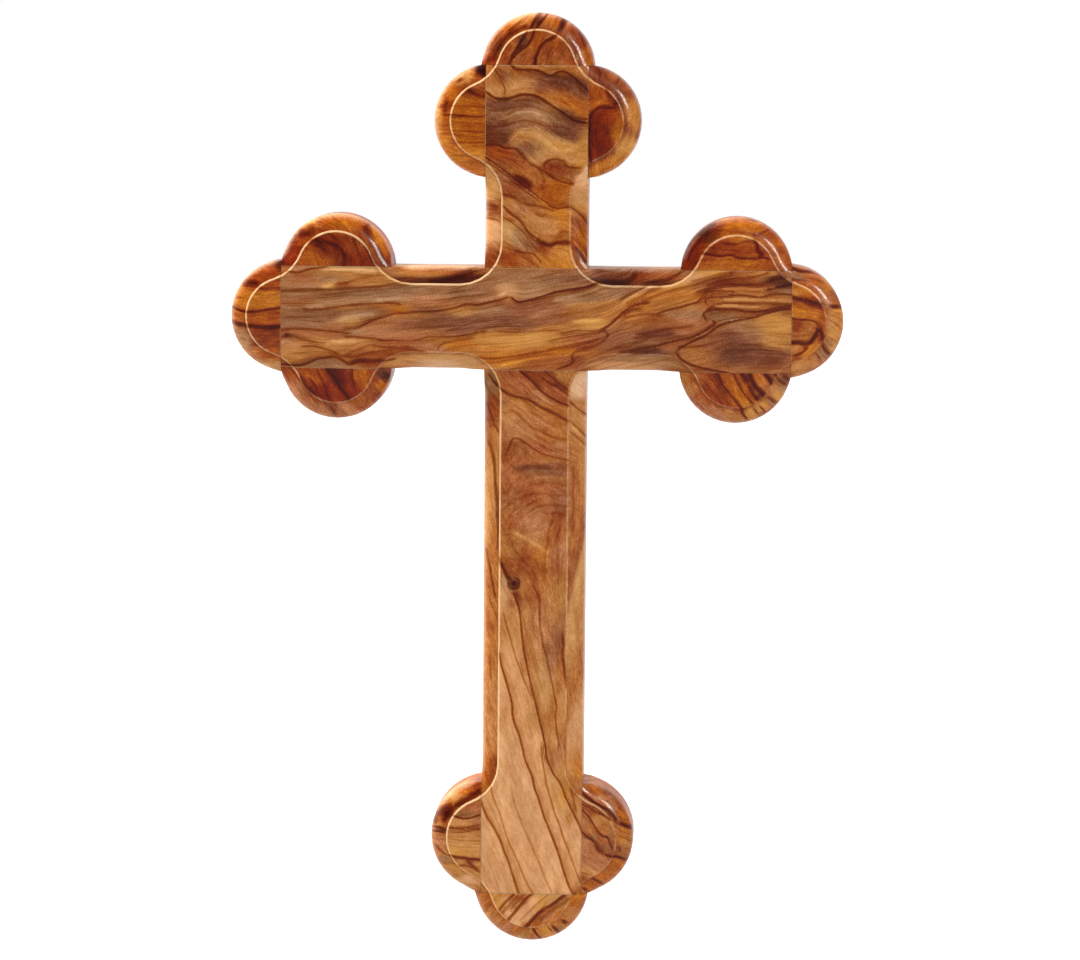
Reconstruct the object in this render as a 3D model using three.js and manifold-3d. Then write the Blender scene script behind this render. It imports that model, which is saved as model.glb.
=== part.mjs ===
// Budded wall cross of solid olive wood.
//
// Two boards cross in a cross-lap joint. Three half-round buds are glued round the end of each
// arm. The glued-up blank is then rounded over all the way along its front edge by a router bit
// whose ball bearing rolls on the sawn outline, and a keyhole is routed in the back to hang it by.
//
// Millimetres. X points to the viewer's right, Y into the wall and Z up. The back lies on Y = 0,
// and the origin is the point of the back where the centre lines of the two boards cross.
import * as THREE from 'three';
import { mergeVertices } from 'three/addons/utils/BufferGeometryUtils.js';
import Module from 'manifold-3d';

// Boards
const BOARD_WIDTH = 33;
const BOARD_THICKNESS = 18;
const BAR_ARM_LENGTH = 82.5; // from the crossing's centre to the board's end, without the bud
const TOP_ARM_LENGTH = 81.5;
const BOTTOM_ARM_LENGTH = 189;

// Buds. Each is a little less than half a disc: its centre lies behind its glue line.
const BUD_HEIGHT = 16.8; // from the glue line to the crown
const BUD_RADIUS = 18.1;
const FOOT_BUD_RADIUS = 18.7; // the bottom arm's buds are a little broader

// Router bit for the front edge: an ovolo with a small square step above it
const BEARING_RADIUS = 8;
const STEP_DEPTH = 1;
const ROUND_RADIUS = 5.2;

// Sanded edge round the back
const BACK_CHAMFER = 0.8;

// Keyhole in the back, for the head of a wall screw
const KEYHOLE_BELOW_TOP = 22.5; // from the upright's top end to where the screw comes to rest
const KEYHOLE_TRAVEL = 12; // from the entry hole down to there
const KEYHOLE_HEAD_WIDTH = 9.5;
const KEYHOLE_NECK_WIDTH = 5;
const KEYHOLE_LIP = 5; // the wood that the screw's head hooks behind
const KEYHOLE_HEAD_DEPTH = 5; // the room for the head in front of the lip

// Fineness of the curves
const BUD_STEP = THREE.MathUtils.degToRad(7.5);
const CORNER_STEP = THREE.MathUtils.degToRad(15);
const KEYHOLE_STEP = THREE.MathUtils.degToRad(22.5);
const ROUND_STEPS = 8; // per quarter turn

// Clearances of the cutting shapes, which run past the wood that they cut
const OVERRUN = 2;
const STANDOFF = 0.5; // of the routed edge's shape from the sawn side, which it leaves as it is

const SAME_POINT = 1e-6;

const HALF_WIDTH = BOARD_WIDTH / 2;
const FRONT = -BOARD_THICKNESS;
const LAP_PLANE = FRONT / 2; // each board gives up half of its thickness to the other
const THROUGH = [FRONT - OVERRUN, OVERRUN];

// The arms in counter-clockwise order, as the viewer sees them. Each has a frame of its own, with
// its first axis out along the arm and its second axis a quarter turn counter-clockwise from it.
const ARMS = {
  right: { length: BAR_ARM_LENGTH, budRadius: BUD_RADIUS, turn: 0 },
  top: { length: TOP_ARM_LENGTH, budRadius: BUD_RADIUS, turn: 1 },
  left: { length: BAR_ARM_LENGTH, budRadius: BUD_RADIUS, turn: 2 },
  bottom: { length: BOTTOM_ARM_LENGTH, budRadius: FOOT_BUD_RADIUS, turn: 3 },
};

const wasm = await Module();
wasm.setup();

// Plane geometry

// A point of an arm's frame, turned to the cross's own X and Z by whole quarter turns.
function toCross(along, across, turn) {
  const quarterTurns = [
    [along, across],
    [-across, along],
    [-along, -across],
    [across, -along],
  ];
  const [x, z] = quarterTurns[turn];
  return new THREE.Vector2(x, z);
}

function angleFrom(centre, point) {
  return Math.atan2(point.y - centre.y, point.x - centre.x);
}

// Where two circles of one radius meet, on the right-hand side of the way from a to b.
function meetingPoint(a, b, radius) {
  const between = b.clone().sub(a);
  const away = Math.sqrt(radius ** 2 - between.lengthSq() / 4);
  const sideways = new THREE.Vector2(between.y, -between.x).setLength(away);
  return a.clone().add(b).multiplyScalar(0.5).add(sideways);
}

// Angles from one to another: both ends, and between them the steps of one common grid, so that
// arcs about the same centre have parallel facets.
function arcAngles(from, to, step) {
  const low = Math.min(from, to) + step / 2;
  const high = Math.max(from, to) - step / 2;
  const between = [];
  for (let k = Math.ceil(low / step); k * step <= high; k += 1) between.push(k * step);
  if (to < from) between.reverse();
  return [from, ...between, to];
}

// The centres of an arm's end bud and of its clockwise side bud. The two circles meet on the line
// of the board's end, where the buds are glued to each other.
function budCentres(arm) {
  const behind = arm.budRadius - BUD_HEIGHT;
  const endHalfWidth = Math.sqrt(arm.budRadius ** 2 - behind ** 2);
  const across = HALF_WIDTH - behind;
  const back = Math.sqrt(arm.budRadius ** 2 - (endHalfWidth - across) ** 2);
  return {
    behind,
    end: new THREE.Vector2(arm.length - behind, 0),
    side: new THREE.Vector2(arm.length - back, -across),
  };
}

// The arcs along an arm, from the crossing's corner on its clockwise side, round its three buds
// and back. A bearing that rolls along the sawn outline turns about the bud centres, and in the
// outline's corners it goes no further in than its own radius lets it. Its hollow arcs are about
// those points.
function edgeArcs(arm, bearing) {
  const { behind, side, end } = budCentres(arm);
  const radius = arm.budRadius;
  const reach = radius + bearing;
  const clear = HALF_WIDTH + bearing;
  const slope = Math.asin((bearing + behind) / reach);
  const crossing = new THREE.Vector2(clear, -clear);
  const shoulder = new THREE.Vector2(side.x - reach * Math.cos(slope), -clear);
  const cusp = meetingPoint(side, end, reach);
  const hollow = (centre, from, to) => ({ centre, radius: bearing, hollow: true, from, to });
  const round = (centre, from, to) => ({ centre, radius, hollow: false, from, to });
  const cornerArc = hollow(crossing, Math.PI, Math.PI / 2);
  const firstBud = [
    hollow(shoulder, Math.PI / 2, slope),
    round(side, slope - Math.PI, angleFrom(side, cusp)),
    hollow(cusp, angleFrom(cusp, side), angleFrom(cusp, end)),
  ];
  const endStart = angleFrom(end, cusp);
  const endBud = round(end, endStart, -endStart);
  const secondBud = firstBud.toReversed().map((arc) => ({
    ...arc,
    centre: new THREE.Vector2(arc.centre.x, -arc.centre.y),
    from: -arc.to,
    to: -arc.from,
  }));
  return [cornerArc, ...firstBud, endBud, ...secondBud];
}

// One closed line round the cross, parallel to the path of a bearing's centre. With a bearing of
// no size and no inset it is the sawn outline, with sharp corners where the buds meet. For one
// bearing, the line has the same number of points at every inset.
function outline(bearing, inset) {
  const points = [];
  for (const arm of Object.values(ARMS)) {
    for (const { centre, radius, hollow, from, to } of edgeArcs(arm, bearing)) {
      const insetRadius = hollow ? radius + inset : radius - inset;
      for (const angle of arcAngles(from, to, hollow ? CORNER_STEP : BUD_STEP)) {
        const along = centre.x + insetRadius * Math.cos(angle);
        const across = centre.y + insetRadius * Math.sin(angle);
        const point = toCross(along, across, arm.turn);
        if (!points.length || points.at(-1).distanceTo(point) > SAME_POINT) points.push(point);
      }
    }
  }
  return points;
}

// Solids

function toSolid(geometry) {
  const bare = geometry.index ? geometry.toNonIndexed() : geometry.clone();
  bare.deleteAttribute('normal');
  bare.deleteAttribute('uv');
  const merged = mergeVertices(bare, 1e-4);
  return new wasm.Manifold(
    new wasm.Mesh({
      numProp: 3,
      vertProperties: merged.attributes.position.array,
      triVerts: new Uint32Array(merged.index.array),
    }),
  );
}

function toGeometry(solid) {
  const mesh = solid.getMesh();
  const geometry = new THREE.BufferGeometry();
  geometry.setAttribute('position', new THREE.BufferAttribute(mesh.vertProperties, 3));
  geometry.setIndex(new THREE.BufferAttribute(mesh.triVerts, 1));
  const faceted = geometry.toNonIndexed();
  faceted.computeVertexNormals();
  return faceted;
}

// A closed line of X and Z, carried from one depth to another.
function prism(line, fromY, toY) {
  const geometry = new THREE.ExtrudeGeometry(new THREE.Shape(line), {
    depth: toY - fromY,
    bevelEnabled: false,
  });
  geometry.rotateX(Math.PI / 2);
  geometry.translate(0, toY, 0);
  return toSolid(geometry);
}

// A box with its corners exactly at the given values, so that glued faces meet exactly.
function block([x0, x1], [y0, y1], [z0, z1]) {
  const geometry = new THREE.BoxGeometry(1, 1, 1);
  const position = geometry.attributes.position;
  for (let i = 0; i < position.count; i += 1) {
    position.setXYZ(
      i,
      position.getX(i) < 0 ? x0 : x1,
      position.getY(i) < 0 ? y0 : y1,
      position.getZ(i) < 0 ? z0 : z1,
    );
  }
  return toSolid(geometry);
}

// A skin through parallel lines, from the front one to the back one, closed at both ends.
function loft(rings) {
  const count = rings[0].line.length;
  const positions = rings.flatMap(({ line, y }) => line.flatMap((p) => [p.x, y, p.y]));
  const faces = [];
  for (let ring = 0; ring < rings.length - 1; ring += 1) {
    for (let i = 0; i < count; i += 1) {
      const a = ring * count + i;
      const b = ring * count + ((i + 1) % count);
      faces.push(a, a + count, b, b, a + count, b + count);
    }
  }
  const last = (rings.length - 1) * count;
  for (const [i, j, k] of THREE.ShapeUtils.triangulateShape(rings[0].line, [])) {
    faces.push(i, j, k);
  }
  for (const [i, j, k] of THREE.ShapeUtils.triangulateShape(rings.at(-1).line, [])) {
    faces.push(last + i, last + k, last + j);
  }
  const geometry = new THREE.BufferGeometry();
  geometry.setAttribute('position', new THREE.Float32BufferAttribute(positions, 3));
  geometry.setIndex(faces);
  return toSolid(geometry);
}

// What the router and the sanding leave, by inset and depth: the flat face, the square step, the
// quarter round, which runs out along its last slope, and the chamfer at the back.
function edgeProfile() {
  const roundTop = FRONT + STEP_DEPTH;
  const profile = [{ inset: ROUND_RADIUS, y: FRONT }];
  for (let i = 0; i < ROUND_STEPS; i += 1) {
    const angle = (Math.PI / 2) * (i / ROUND_STEPS);
    profile.push({
      inset: ROUND_RADIUS * (1 - Math.sin(angle)),
      y: roundTop + ROUND_RADIUS * (1 - Math.cos(angle)),
    });
  }
  const last = profile.at(-1);
  const runOut = Math.tan((Math.PI / 2) * (1 - 0.5 / ROUND_STEPS));
  profile.push({ inset: -STANDOFF, y: last.y + runOut * (last.inset + STANDOFF) });
  profile.push({ inset: -STANDOFF, y: -BACK_CHAMFER - STANDOFF });
  profile.push({ inset: BACK_CHAMFER, y: 0 });
  return profile;
}

function routedBlank() {
  const blank = prism(outline(0, 0), FRONT - OVERRUN, OVERRUN);
  const rings = edgeProfile().map(({ inset, y }) => ({ line: outline(BEARING_RADIUS, inset), y }));
  return blank.intersect(loft(rings));
}

// A slot with round ends, from one height to another on the upright's centre line.
function slotLine(fromZ, toZ, width) {
  const radius = width / 2;
  const halfTurn = (centreZ, from) =>
    arcAngles(from, from + Math.PI, KEYHOLE_STEP).map(
      (angle) =>
        new THREE.Vector2(radius * Math.cos(angle), centreZ + radius * Math.sin(angle)),
    );
  return [...halfTurn(toZ, 0), ...halfTurn(fromZ, Math.PI)];
}

// The bit plunges at the entry hole and then travels up, so its head undercuts the lip.
function keyholeCut() {
  const rest = TOP_ARM_LENGTH - KEYHOLE_BELOW_TOP;
  const entry = rest - KEYHOLE_TRAVEL;
  const floor = -KEYHOLE_LIP - KEYHOLE_HEAD_DEPTH;
  const plunge = new THREE.CylinderGeometry(
    KEYHOLE_HEAD_WIDTH / 2,
    KEYHOLE_HEAD_WIDTH / 2,
    OVERRUN - floor,
    Math.round((2 * Math.PI) / KEYHOLE_STEP),
  );
  plunge.translate(0, (floor + OVERRUN) / 2, entry);
  const neck = prism(slotLine(entry, rest, KEYHOLE_NECK_WIDTH), floor, OVERRUN);
  const head = prism(slotLine(entry, rest, KEYHOLE_HEAD_WIDTH), floor, -KEYHOLE_LIP);
  return toSolid(plunge).add(neck).add(head);
}

// The pieces of the blank, each cut out along its glue lines

const whole = routedBlank();

function crossbar() {
  const board = block([-BAR_ARM_LENGTH, BAR_ARM_LENGTH], THROUGH, [-HALF_WIDTH, HALF_WIDTH]);
  const housing = block(
    [-HALF_WIDTH, HALF_WIDTH],
    [LAP_PLANE, OVERRUN],
    [-HALF_WIDTH - OVERRUN, HALF_WIDTH + OVERRUN],
  );
  return whole.intersect(board).subtract(housing);
}

function upright() {
  const board = block([-HALF_WIDTH, HALF_WIDTH], THROUGH, [-BOTTOM_ARM_LENGTH, TOP_ARM_LENGTH]);
  const housing = block(
    [-HALF_WIDTH - OVERRUN, HALF_WIDTH + OVERRUN],
    [FRONT - OVERRUN, LAP_PLANE],
    [-HALF_WIDTH, HALF_WIDTH],
  );
  return whole.intersect(board).subtract(housing).subtract(keyholeCut());
}

// A bud's wood, given by its glue lines in the arm's frame.
function bud(arm, [alongFrom, alongTo], [acrossFrom, acrossTo]) {
  const a = toCross(alongFrom, acrossFrom, arm.turn);
  const b = toCross(alongTo, acrossTo, arm.turn);
  const limits = (from, to) => [Math.min(from, to), Math.max(from, to)];
  return whole.intersect(block(limits(a.x, b.x), THROUGH, limits(a.y, b.y)));
}

function endBud(arm) {
  const past = arm.budRadius + OVERRUN;
  return bud(arm, [arm.length, arm.length + past], [-past, past]);
}

// On the clockwise side of the arm for a side of -1, and on the other side for 1.
function sideBud(arm, side) {
  const start = budCentres(arm).side.x - arm.budRadius;
  const past = HALF_WIDTH + BUD_HEIGHT + OVERRUN;
  return bud(arm, [start, arm.length], [side * HALF_WIDTH, side * past]);
}

// Finished timber, oiled and lacquered. The buds are cut from darker offcuts than the boards.
const timber = (color) => new THREE.MeshStandardMaterial({ color, roughness: 0.42, metalness: 0 });
const crossbarWood = timber('#a2653c');
const uprightWood = timber('#b06e3f');
const budWood = timber('#97522a');

const cross = new THREE.Group();

function addPiece(name, solid, material) {
  const mesh = new THREE.Mesh(toGeometry(solid), material);
  mesh.name = name;
  cross.add(mesh);
}

addPiece('crossbar', crossbar(), crossbarWood);
addPiece('upright', upright(), uprightWood);

// Which way each arm's buds face. The first side bud is the clockwise one, seen from the front.
const budNames = {
  right: ['lower', 'outer', 'upper'],
  top: ['right', 'crown', 'left'],
  left: ['upper', 'outer', 'lower'],
  bottom: ['left', 'foot', 'right'],
};
for (const [armName, [first, end, second]] of Object.entries(budNames)) {
  const arm = ARMS[armName];
  addPiece(`${armName}_arm_${first}_bud`, sideBud(arm, -1), budWood);
  addPiece(`${armName}_arm_${end}_bud`, endBud(arm), budWood);
  addPiece(`${armName}_arm_${second}_bud`, sideBud(arm, 1), budWood);
}

export default cross;
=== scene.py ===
"""Looks of the wall cross: two boards and twelve round buds of olive wood, sanded and lacquered.

Each piece is a finished copy of its CAD solid. The arris of the routed step is softened, the faces
are diced finely, and the figure of the wood is painted on the vertices in millimetres: soft tones,
dark veins, streaks that follow the veins, and the thin glue lines. The painted colours also hold
painted light: the arris, partly pale by handling, and the rims are made paler at the upper left as
painted highlight, and some spots and lines of the routed edges are painted highlight, reflection
and shade.
"""
import heapq
import logging
import math
from dataclasses import dataclass, field
from enum import Enum

import bmesh
import bpy
import numpy as np
from mathutils import Matrix, Vector


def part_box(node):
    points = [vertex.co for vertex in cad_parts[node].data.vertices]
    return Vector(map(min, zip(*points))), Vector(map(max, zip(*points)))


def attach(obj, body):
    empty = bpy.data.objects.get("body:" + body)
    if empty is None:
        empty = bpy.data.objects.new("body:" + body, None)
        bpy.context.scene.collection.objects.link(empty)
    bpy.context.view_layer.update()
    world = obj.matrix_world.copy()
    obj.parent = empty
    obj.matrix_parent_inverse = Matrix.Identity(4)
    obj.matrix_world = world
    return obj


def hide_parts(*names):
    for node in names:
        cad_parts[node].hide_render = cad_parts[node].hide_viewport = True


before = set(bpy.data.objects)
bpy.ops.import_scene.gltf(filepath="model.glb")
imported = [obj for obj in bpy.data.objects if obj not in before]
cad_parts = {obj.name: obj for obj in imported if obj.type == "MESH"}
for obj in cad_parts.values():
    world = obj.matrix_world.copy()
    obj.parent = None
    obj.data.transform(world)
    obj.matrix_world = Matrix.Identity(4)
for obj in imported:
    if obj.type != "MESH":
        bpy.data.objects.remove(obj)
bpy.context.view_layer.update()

MM = 0.001
BODY = "root"

# Depths of the routed edge in millimetres, as the CAD has them.
BOARD_THICKNESS = 18.0
STEP_FOOT = -17.0
ROUND_FOOT = -11.8

# Which way a face looks, by the y of its normal: the front, the step's wall, a glued face.
FRONT_NORMAL = -0.99
WALL_NORMAL = 0.1
GLUED_NORMAL = 0.02

# The course of the grain: the spacing of its grid in millimetres and the cells beyond the piece;
# how near a vein its pull levels off, in square millimetres; the pull of a board's main grain; how
# much more it counts that streaks run along the grain than that they keep their spacing, and how
# little that the field is even; and when the solver stops.
GRAIN_CELL = 1.5
GRAIN_MARGIN = 2
GRAIN_NEAR = 2.0
GRAIN_BASE = 0.004
GRAIN_STIFFNESS = 8.0
GRAIN_EVENNESS = 0.01
GRAIN_ROUNDS = 400
GRAIN_DONE = 1e-9
TINY = 1e-12

# The tones: the weight of a piece's base tone, and the spread of a tone within its spot.
BASE_WEIGHT = 0.05
SPOT_SOFTNESS = 0.75

# The veins: what a vertex far from all of them reads, how many of its widths away a vein still
# counts, how far round it is looked for, and the taper at its ends, in millimetres.
FAR_FROM_VEINS = (9.0, 9.0, 0.5)
VEIN_WIDTHS = 6.0
VEIN_SPAN = 3
VEIN_MARGIN = 1.2
TAPER_LENGTH = 1.2
TAPER_TIP = 0.25

# The dark beside a vein with one soft side: its strength, its width and how far it reaches.
HALO = 0.42
HALO_WIDTH = 1.5
HALO_MARGIN = 4.0

# About the spacing of the vertices in millimetres, under which no distance to a vein is told: on
# the front, and beyond the depth at which the coarser walls and back begin.
FRONT_SPACING = 0.42
BACK_SPACING = 0.9
BACK_DEPTH = 0.2

# How the figure goes down the walls: what it shrinks by in a millimetre, and the depth over which
# the walls take on the figure of the face.
WALL_SHRINK = 0.03
WALL_BLEND = 4
STEP_MARGIN = 0.4

# The streaks are weaker in pale wood, by the green of its tone, within two limits. Where the edge is
# made pale, by handling and by painted highlight, a share of the streaks and of the veins is taken off.
STREAK_STRENGTH = 1.4
STREAK_LOSS = 3.2
STREAK_LIMITS = (0.4, 1.3)
STREAKS_UNDER_PALE_EDGE = 0.8
VEINS_UNDER_PALE_EDGE = 0.6

# Each piece's streaks start elsewhere in the noise, this far on in millimetres for each seed.
SEED_STEP = 37.0

# No glue line is looked for beyond this distance in millimetres.
SEAM_REACH = 10.0

# Colours of light: plain, the key lamp's gloss, and the windows behind, which warm the rims.
WHITE_LIGHT = (1.0, 1.0, 1.0)
GLOSS_LIGHT = (1.0, 0.9, 0.76)
WARM_LIGHT = (1.0, 0.9, 0.72)

# What one unit of the heartwood's dark extractives lets through, least of the blue and most of
# the red, and what the lack of one unit gives back in pale wood.
EXTRACTIVES = (0.37, 0.155, 0.035)
PALE_WOOD = (0.37, 0.21, 0.13)

# Lacquer deepens the dark tones and leaves the pale ones: the power and the gain of each channel.
LACQUER_POWER = (1.2, 1.2, 1.27)
LACQUER_GAIN = (1.27, 1.37, 1.85)

# Each arm's buds: at its right side, its end and its left side, as seen from the crossing.
TREFOILS = {
    "right": ("lower", "outer", "upper"),
    "top": ("right", "crown", "left"),
    "left": ("upper", "outer", "lower"),
    "bottom": ("left", "foot", "right"),
}

log = logging.getLogger("wall_cross")


class Tone(Enum):
    """The colours of the figure, as sRGB: those that olive heartwood runs through, which also serve for
    painted highlight, reflection and shade on the edges.
    """

    MAROON = "#4e1407"
    BISTRE = "#692d10"
    MAHOGANY = "#7b2707"
    UMBER = "#802c08"
    OXBLOOD = "#8b300c"
    PLUM = "#713f2b"
    GARNET = "#893e16"
    RUST = "#9b4814"
    RUSSET = "#854e35"
    COCOA = "#9a532a"
    WALNUT = "#8e5b3d"
    COPPER = "#a75718"
    MOCHA = "#a55e2c"
    GINGER = "#9c613f"
    AUBURN = "#966845"
    HAZEL = "#b36718"
    CHESTNUT = "#a6683c"
    UMBRIA = "#aa6c37"
    SIENNA = "#b66a26"
    TAWNY = "#b06a3f"
    AMBER = "#a4724c"
    FAWN = "#b37138"
    CARAMEL = "#b5774d"
    OCHRE = "#b57a41"
    DRAB = "#c07928"
    TOFFEE = "#af8158"
    GOLD = "#c3803b"
    CAMEL = "#be824c"
    APRICOT = "#c38950"
    SAND = "#cb914c"
    HONEY = "#c9955c"
    WHEAT = "#d09a68"
    STRAW = "#daa470"
    CREAM = "#deb488"


class Zone(Enum):
    """Where on a piece a vein lies."""

    FACE = "face"
    EDGE = "edge"
    BOTH = "both"


class Slot(Enum):
    """The record's material slots."""

    CROSSBAR = "crossbar_olive_wood"
    UPRIGHT = "upright_olive_wood"
    BUD = "bud_olive_wood"


def linear(hex_colour: str) -> tuple[float, float, float]:
    """Turns an sRGB hex colour into linear values.

    Args:
        hex_colour: A colour such as "#a9683a".

    Returns:
        Red, green and blue from 0 to 1, linear.
    """
    parts = (int(hex_colour[i : i + 2], 16) / 255 for i in (1, 3, 5))
    return tuple(c / 12.92 if c <= 0.04045 else ((c + 0.055) / 1.055) ** 2.4 for c in parts)


def add_node(tree: bpy.types.NodeTree, kind: str, settings: dict | None = None,
             **links: object) -> bpy.types.Node:
    """Adds one node, with its settings and what goes into it.

    Args:
        tree: The node tree that gets the node.
        kind: The node's type, such as "ShaderNodeMix".
        settings: Values of the node's own properties, by name.
        **links: What goes into an input: a plain value, or the output socket of another node.
            The input is named by its identifier, or by "in" and its number.

    Returns:
        The new node.
    """
    node = tree.nodes.new(kind)
    for name, value in (settings or {}).items():
        setattr(node, name, value)
    for name, value in links.items():
        if name.startswith("in") and name[2:].isdigit():
            socket = node.inputs[int(name[2:])]
        else:
            socket = next(s for s in node.inputs if s.identifier == name)
        if isinstance(value, bpy.types.NodeSocket):
            tree.links.new(value, socket)
        else:
            socket.default_value = value
    return node


def flat_box(node: str) -> tuple[np.ndarray, np.ndarray]:
    """Gives a node's lowest and highest x and z, in millimetres."""
    low, high = (np.array(corner)[[0, 2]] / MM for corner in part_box(node))
    return low, high


def glue_lines() -> list[tuple[tuple[float, float], tuple[float, float]]]:
    """Finds the glue lines on the face: round the crossing, and along the flat side of each bud.

    Returns:
        The two ends of each line, as x and z in millimetres.
    """
    half = flat_box("upright")[1][0]
    lines = [((-half, height), (half, height)) for height in (-half, half)]
    for arm, names in TREFOILS.items():
        for name in names:
            low, high = flat_box(f"{arm}_arm_{name}_bud")
            out = int(np.argmin(high - low))
            flat = min(low[out], high[out], key=abs)
            ends = np.array([low, high])
            ends[:, out] = flat
            lines.append((tuple(ends[0]), tuple(ends[1])))
    return lines


@dataclass(frozen=True)
class Vein:
    """A growth line, as drawn: how dark it is, its width and its path over the face.

    The path is a row of x,z pairs in millimetres. A fade of 1 or -1 gives a soft dark side, and a
    line of less than no ink is pale. A few lines beside the step are painted shade and painted
    highlight instead, marked where they stand.
    """

    ink: float
    width: float
    path: str
    zone: Zone = Zone.FACE
    fade: int = 0
    pitch: float = 0.55

    def points(self) -> np.ndarray:
        """Gives the path as smooth points about half a millimetre apart.

        Returns:
            An array of x and z, one row a point.
        """
        raw = np.array([[float(v) for v in pair.split(",")] for pair in self.path.split()])
        ends = np.vstack([2 * raw[0] - raw[1], raw, 2 * raw[-1] - raw[-2]])
        out = []
        for a, b, c, d in zip(ends[:-3], ends[1:-2], ends[2:-1], ends[3:]):
            steps = max(2, math.ceil(float(np.hypot(*(c - b))) / self.pitch))
            t = (np.arange(steps) / steps)[:, None]
            out.append(0.5 * (2 * b + (c - a) * t + (2 * a - 5 * b + 4 * c - d) * t**2
                              + (3 * b - a - 3 * c + d) * t**3))
        return np.vstack([*out, raw[-1:]])


@dataclass(frozen=True)
class Figure:
    """The figure of one piece of wood, as drawn.

    Grain is the heading of the main grain and lean that of the spots, in degrees. Face, edge and
    both hold the soft spots of the front face, of the routed edge and of the two together, by
    their tone. Each spot is the x and z of its middle and its half sizes along x and z, in
    millimetres.
    """

    base: Tone
    grain: float
    lean: float
    seed: int
    face: dict[Tone, str]
    edge: dict[Tone, str]
    veins: tuple[Vein, ...]
    both: dict[Tone, str] = field(default_factory=dict)


@dataclass
class PieceMesh:
    """A finished copy of a CAD solid's mesh, with sizes in millimetres and angles in degrees."""

    node: bpy.types.Object
    grid: float = 0.8
    back_grid: float = 0.85
    arris: float = 0.7
    arris_steps: int = 4
    smooth_angle: float = 40.0
    flat_angle: float = 0.3
    merge: float = 0.004
    slack: float = 0.01
    step_slack: float = 0.1
    round_slack: float = 0.3
    seam_slack: float = 0.5

    def build(self, name: str) -> bpy.types.Object:
        """Copies, softens and dices the mesh.

        Args:
            name: The name of the new object.

        Returns:
            The new object, which sits at the origin as the CAD node does.
        """
        bm = bmesh.new()
        bm.from_mesh(self.node.data)
        bmesh.ops.remove_doubles(bm, verts=bm.verts, dist=self.merge * MM)
        bmesh.ops.dissolve_limit(bm, angle_limit=math.radians(self.flat_angle), verts=bm.verts,
                                 edges=bm.edges)
        self._soften(bm)
        self._keep_normals(bm)
        self._dice(bm)
        mesh = bpy.data.meshes.new(name)
        bm.to_mesh(mesh)
        bm.free()
        self._set_normals(mesh)
        made = bpy.data.objects.new(name, mesh)
        bpy.context.scene.collection.objects.link(made)
        return made

    def _soften(self, bm: bmesh.types.BMesh) -> None:
        """Rounds the arris between the front face and the wall of the routed step.

        Args:
            bm: The mesh.
        """
        front = -BOARD_THICKNESS * MM
        picked = []
        for edge in bm.edges:
            if len(edge.link_faces) != 2 or any(abs(v.co.y - front) > self.slack * MM for v in edge.verts):
                continue
            pair = tuple(edge.link_faces)
            for one, other in (pair, pair[::-1]):
                is_step = max(v.co.y for v in other.verts) < (STEP_FOOT + self.step_slack) * MM
                if one.normal.y < FRONT_NORMAL and abs(other.normal.y) < WALL_NORMAL and is_step:
                    picked.append(edge)
        bmesh.ops.bevel(bm, geom=picked, offset=self.arris * MM, offset_type="OFFSET",
                        segments=self.arris_steps, profile=0.5, affect="EDGES", material=-1,
                        clamp_overlap=True)

    def _keep_normals(self, bm: bmesh.types.BMesh) -> None:
        """Writes each corner's smooth normal, so that dicing doesn't flatten the rounds.

        Args:
            bm: The mesh.
        """
        lay = bm.loops.layers.float_vector.new("lay")
        limit = math.cos(math.radians(self.smooth_angle))
        bm.normal_update()
        areas = {f: f.calc_area() for f in bm.faces}
        for face in bm.faces:
            for loop in face.loops:
                total = Vector()
                for near in loop.vert.link_faces:
                    if near.normal.dot(face.normal) > limit:
                        total += near.normal * areas[near]
                loop[lay] = total.normalized()

    def _dice(self, bm: bmesh.types.BMesh) -> None:
        """Cuts the faces on a grid: finely at the front and on the round, coarser behind.

        Args:
            bm: The mesh.
        """
        shown = [f for f in bm.faces if not self._is_seam(f)]
        fine = [f for f in shown if self._is_front(f)]
        coarse = [f for f in shown if not self._is_front(f)]
        for axis in (0, 2):
            fine = self._slice(bm, fine, axis, self.grid * MM)
            coarse = self._slice(bm, coarse, axis, self.back_grid * MM)
        coarse = self._slice(bm, coarse, 1, self.back_grid * MM)
        bmesh.ops.triangulate(bm, faces=[f for f in bm.faces if len(f.verts) > 4],
                              quad_method="BEAUTY", ngon_method="BEAUTY")
        fine = [f for f in bm.faces if self._is_front(f) and not self._is_seam(f)]
        edges = list({e for f in fine for e in f.edges})
        bmesh.ops.subdivide_edges(bm, edges=edges, cuts=1, use_grid_fill=True)

    def _is_front(self, face: bmesh.types.BMFace) -> bool:
        """Tells a face of the front or of the routed edge from one of the walls and the back."""
        return face.calc_center_median().y / MM < ROUND_FOOT + self.round_slack

    def _is_seam(self, face: bmesh.types.BMFace) -> bool:
        """Tells a glued face, which is upright and spans most of the routed edge's depth.

        Args:
            face: A face of the mesh.

        Returns:
            Whether it is a glued face.
        """
        ys = [v.co.y for v in face.verts]
        is_deep = max(ys) > (STEP_FOOT + self.seam_slack) * MM
        is_high = min(ys) < (ROUND_FOOT - self.seam_slack) * MM
        return abs(face.normal.y) < GLUED_NORMAL and is_high and is_deep

    def _slice(self, bm: bmesh.types.BMesh, faces: list[bmesh.types.BMFace], axis: int,
               step: float) -> list[bmesh.types.BMFace]:
        """Cuts faces by evenly spaced planes.

        Args:
            bm: The mesh.
            faces: The faces to cut.
            axis: 0, 1 or 2 for planes across x, y or z.
            step: The spacing in metres.

        Returns:
            The faces that the cuts leave.
        """
        spots = [v.co[axis] for f in faces for v in f.verts]
        first, last = math.floor(min(spots) / step) + 1, math.ceil(max(spots) / step)
        return self._cut(bm, list(faces), axis, [i * step for i in range(first, last)])

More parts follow.
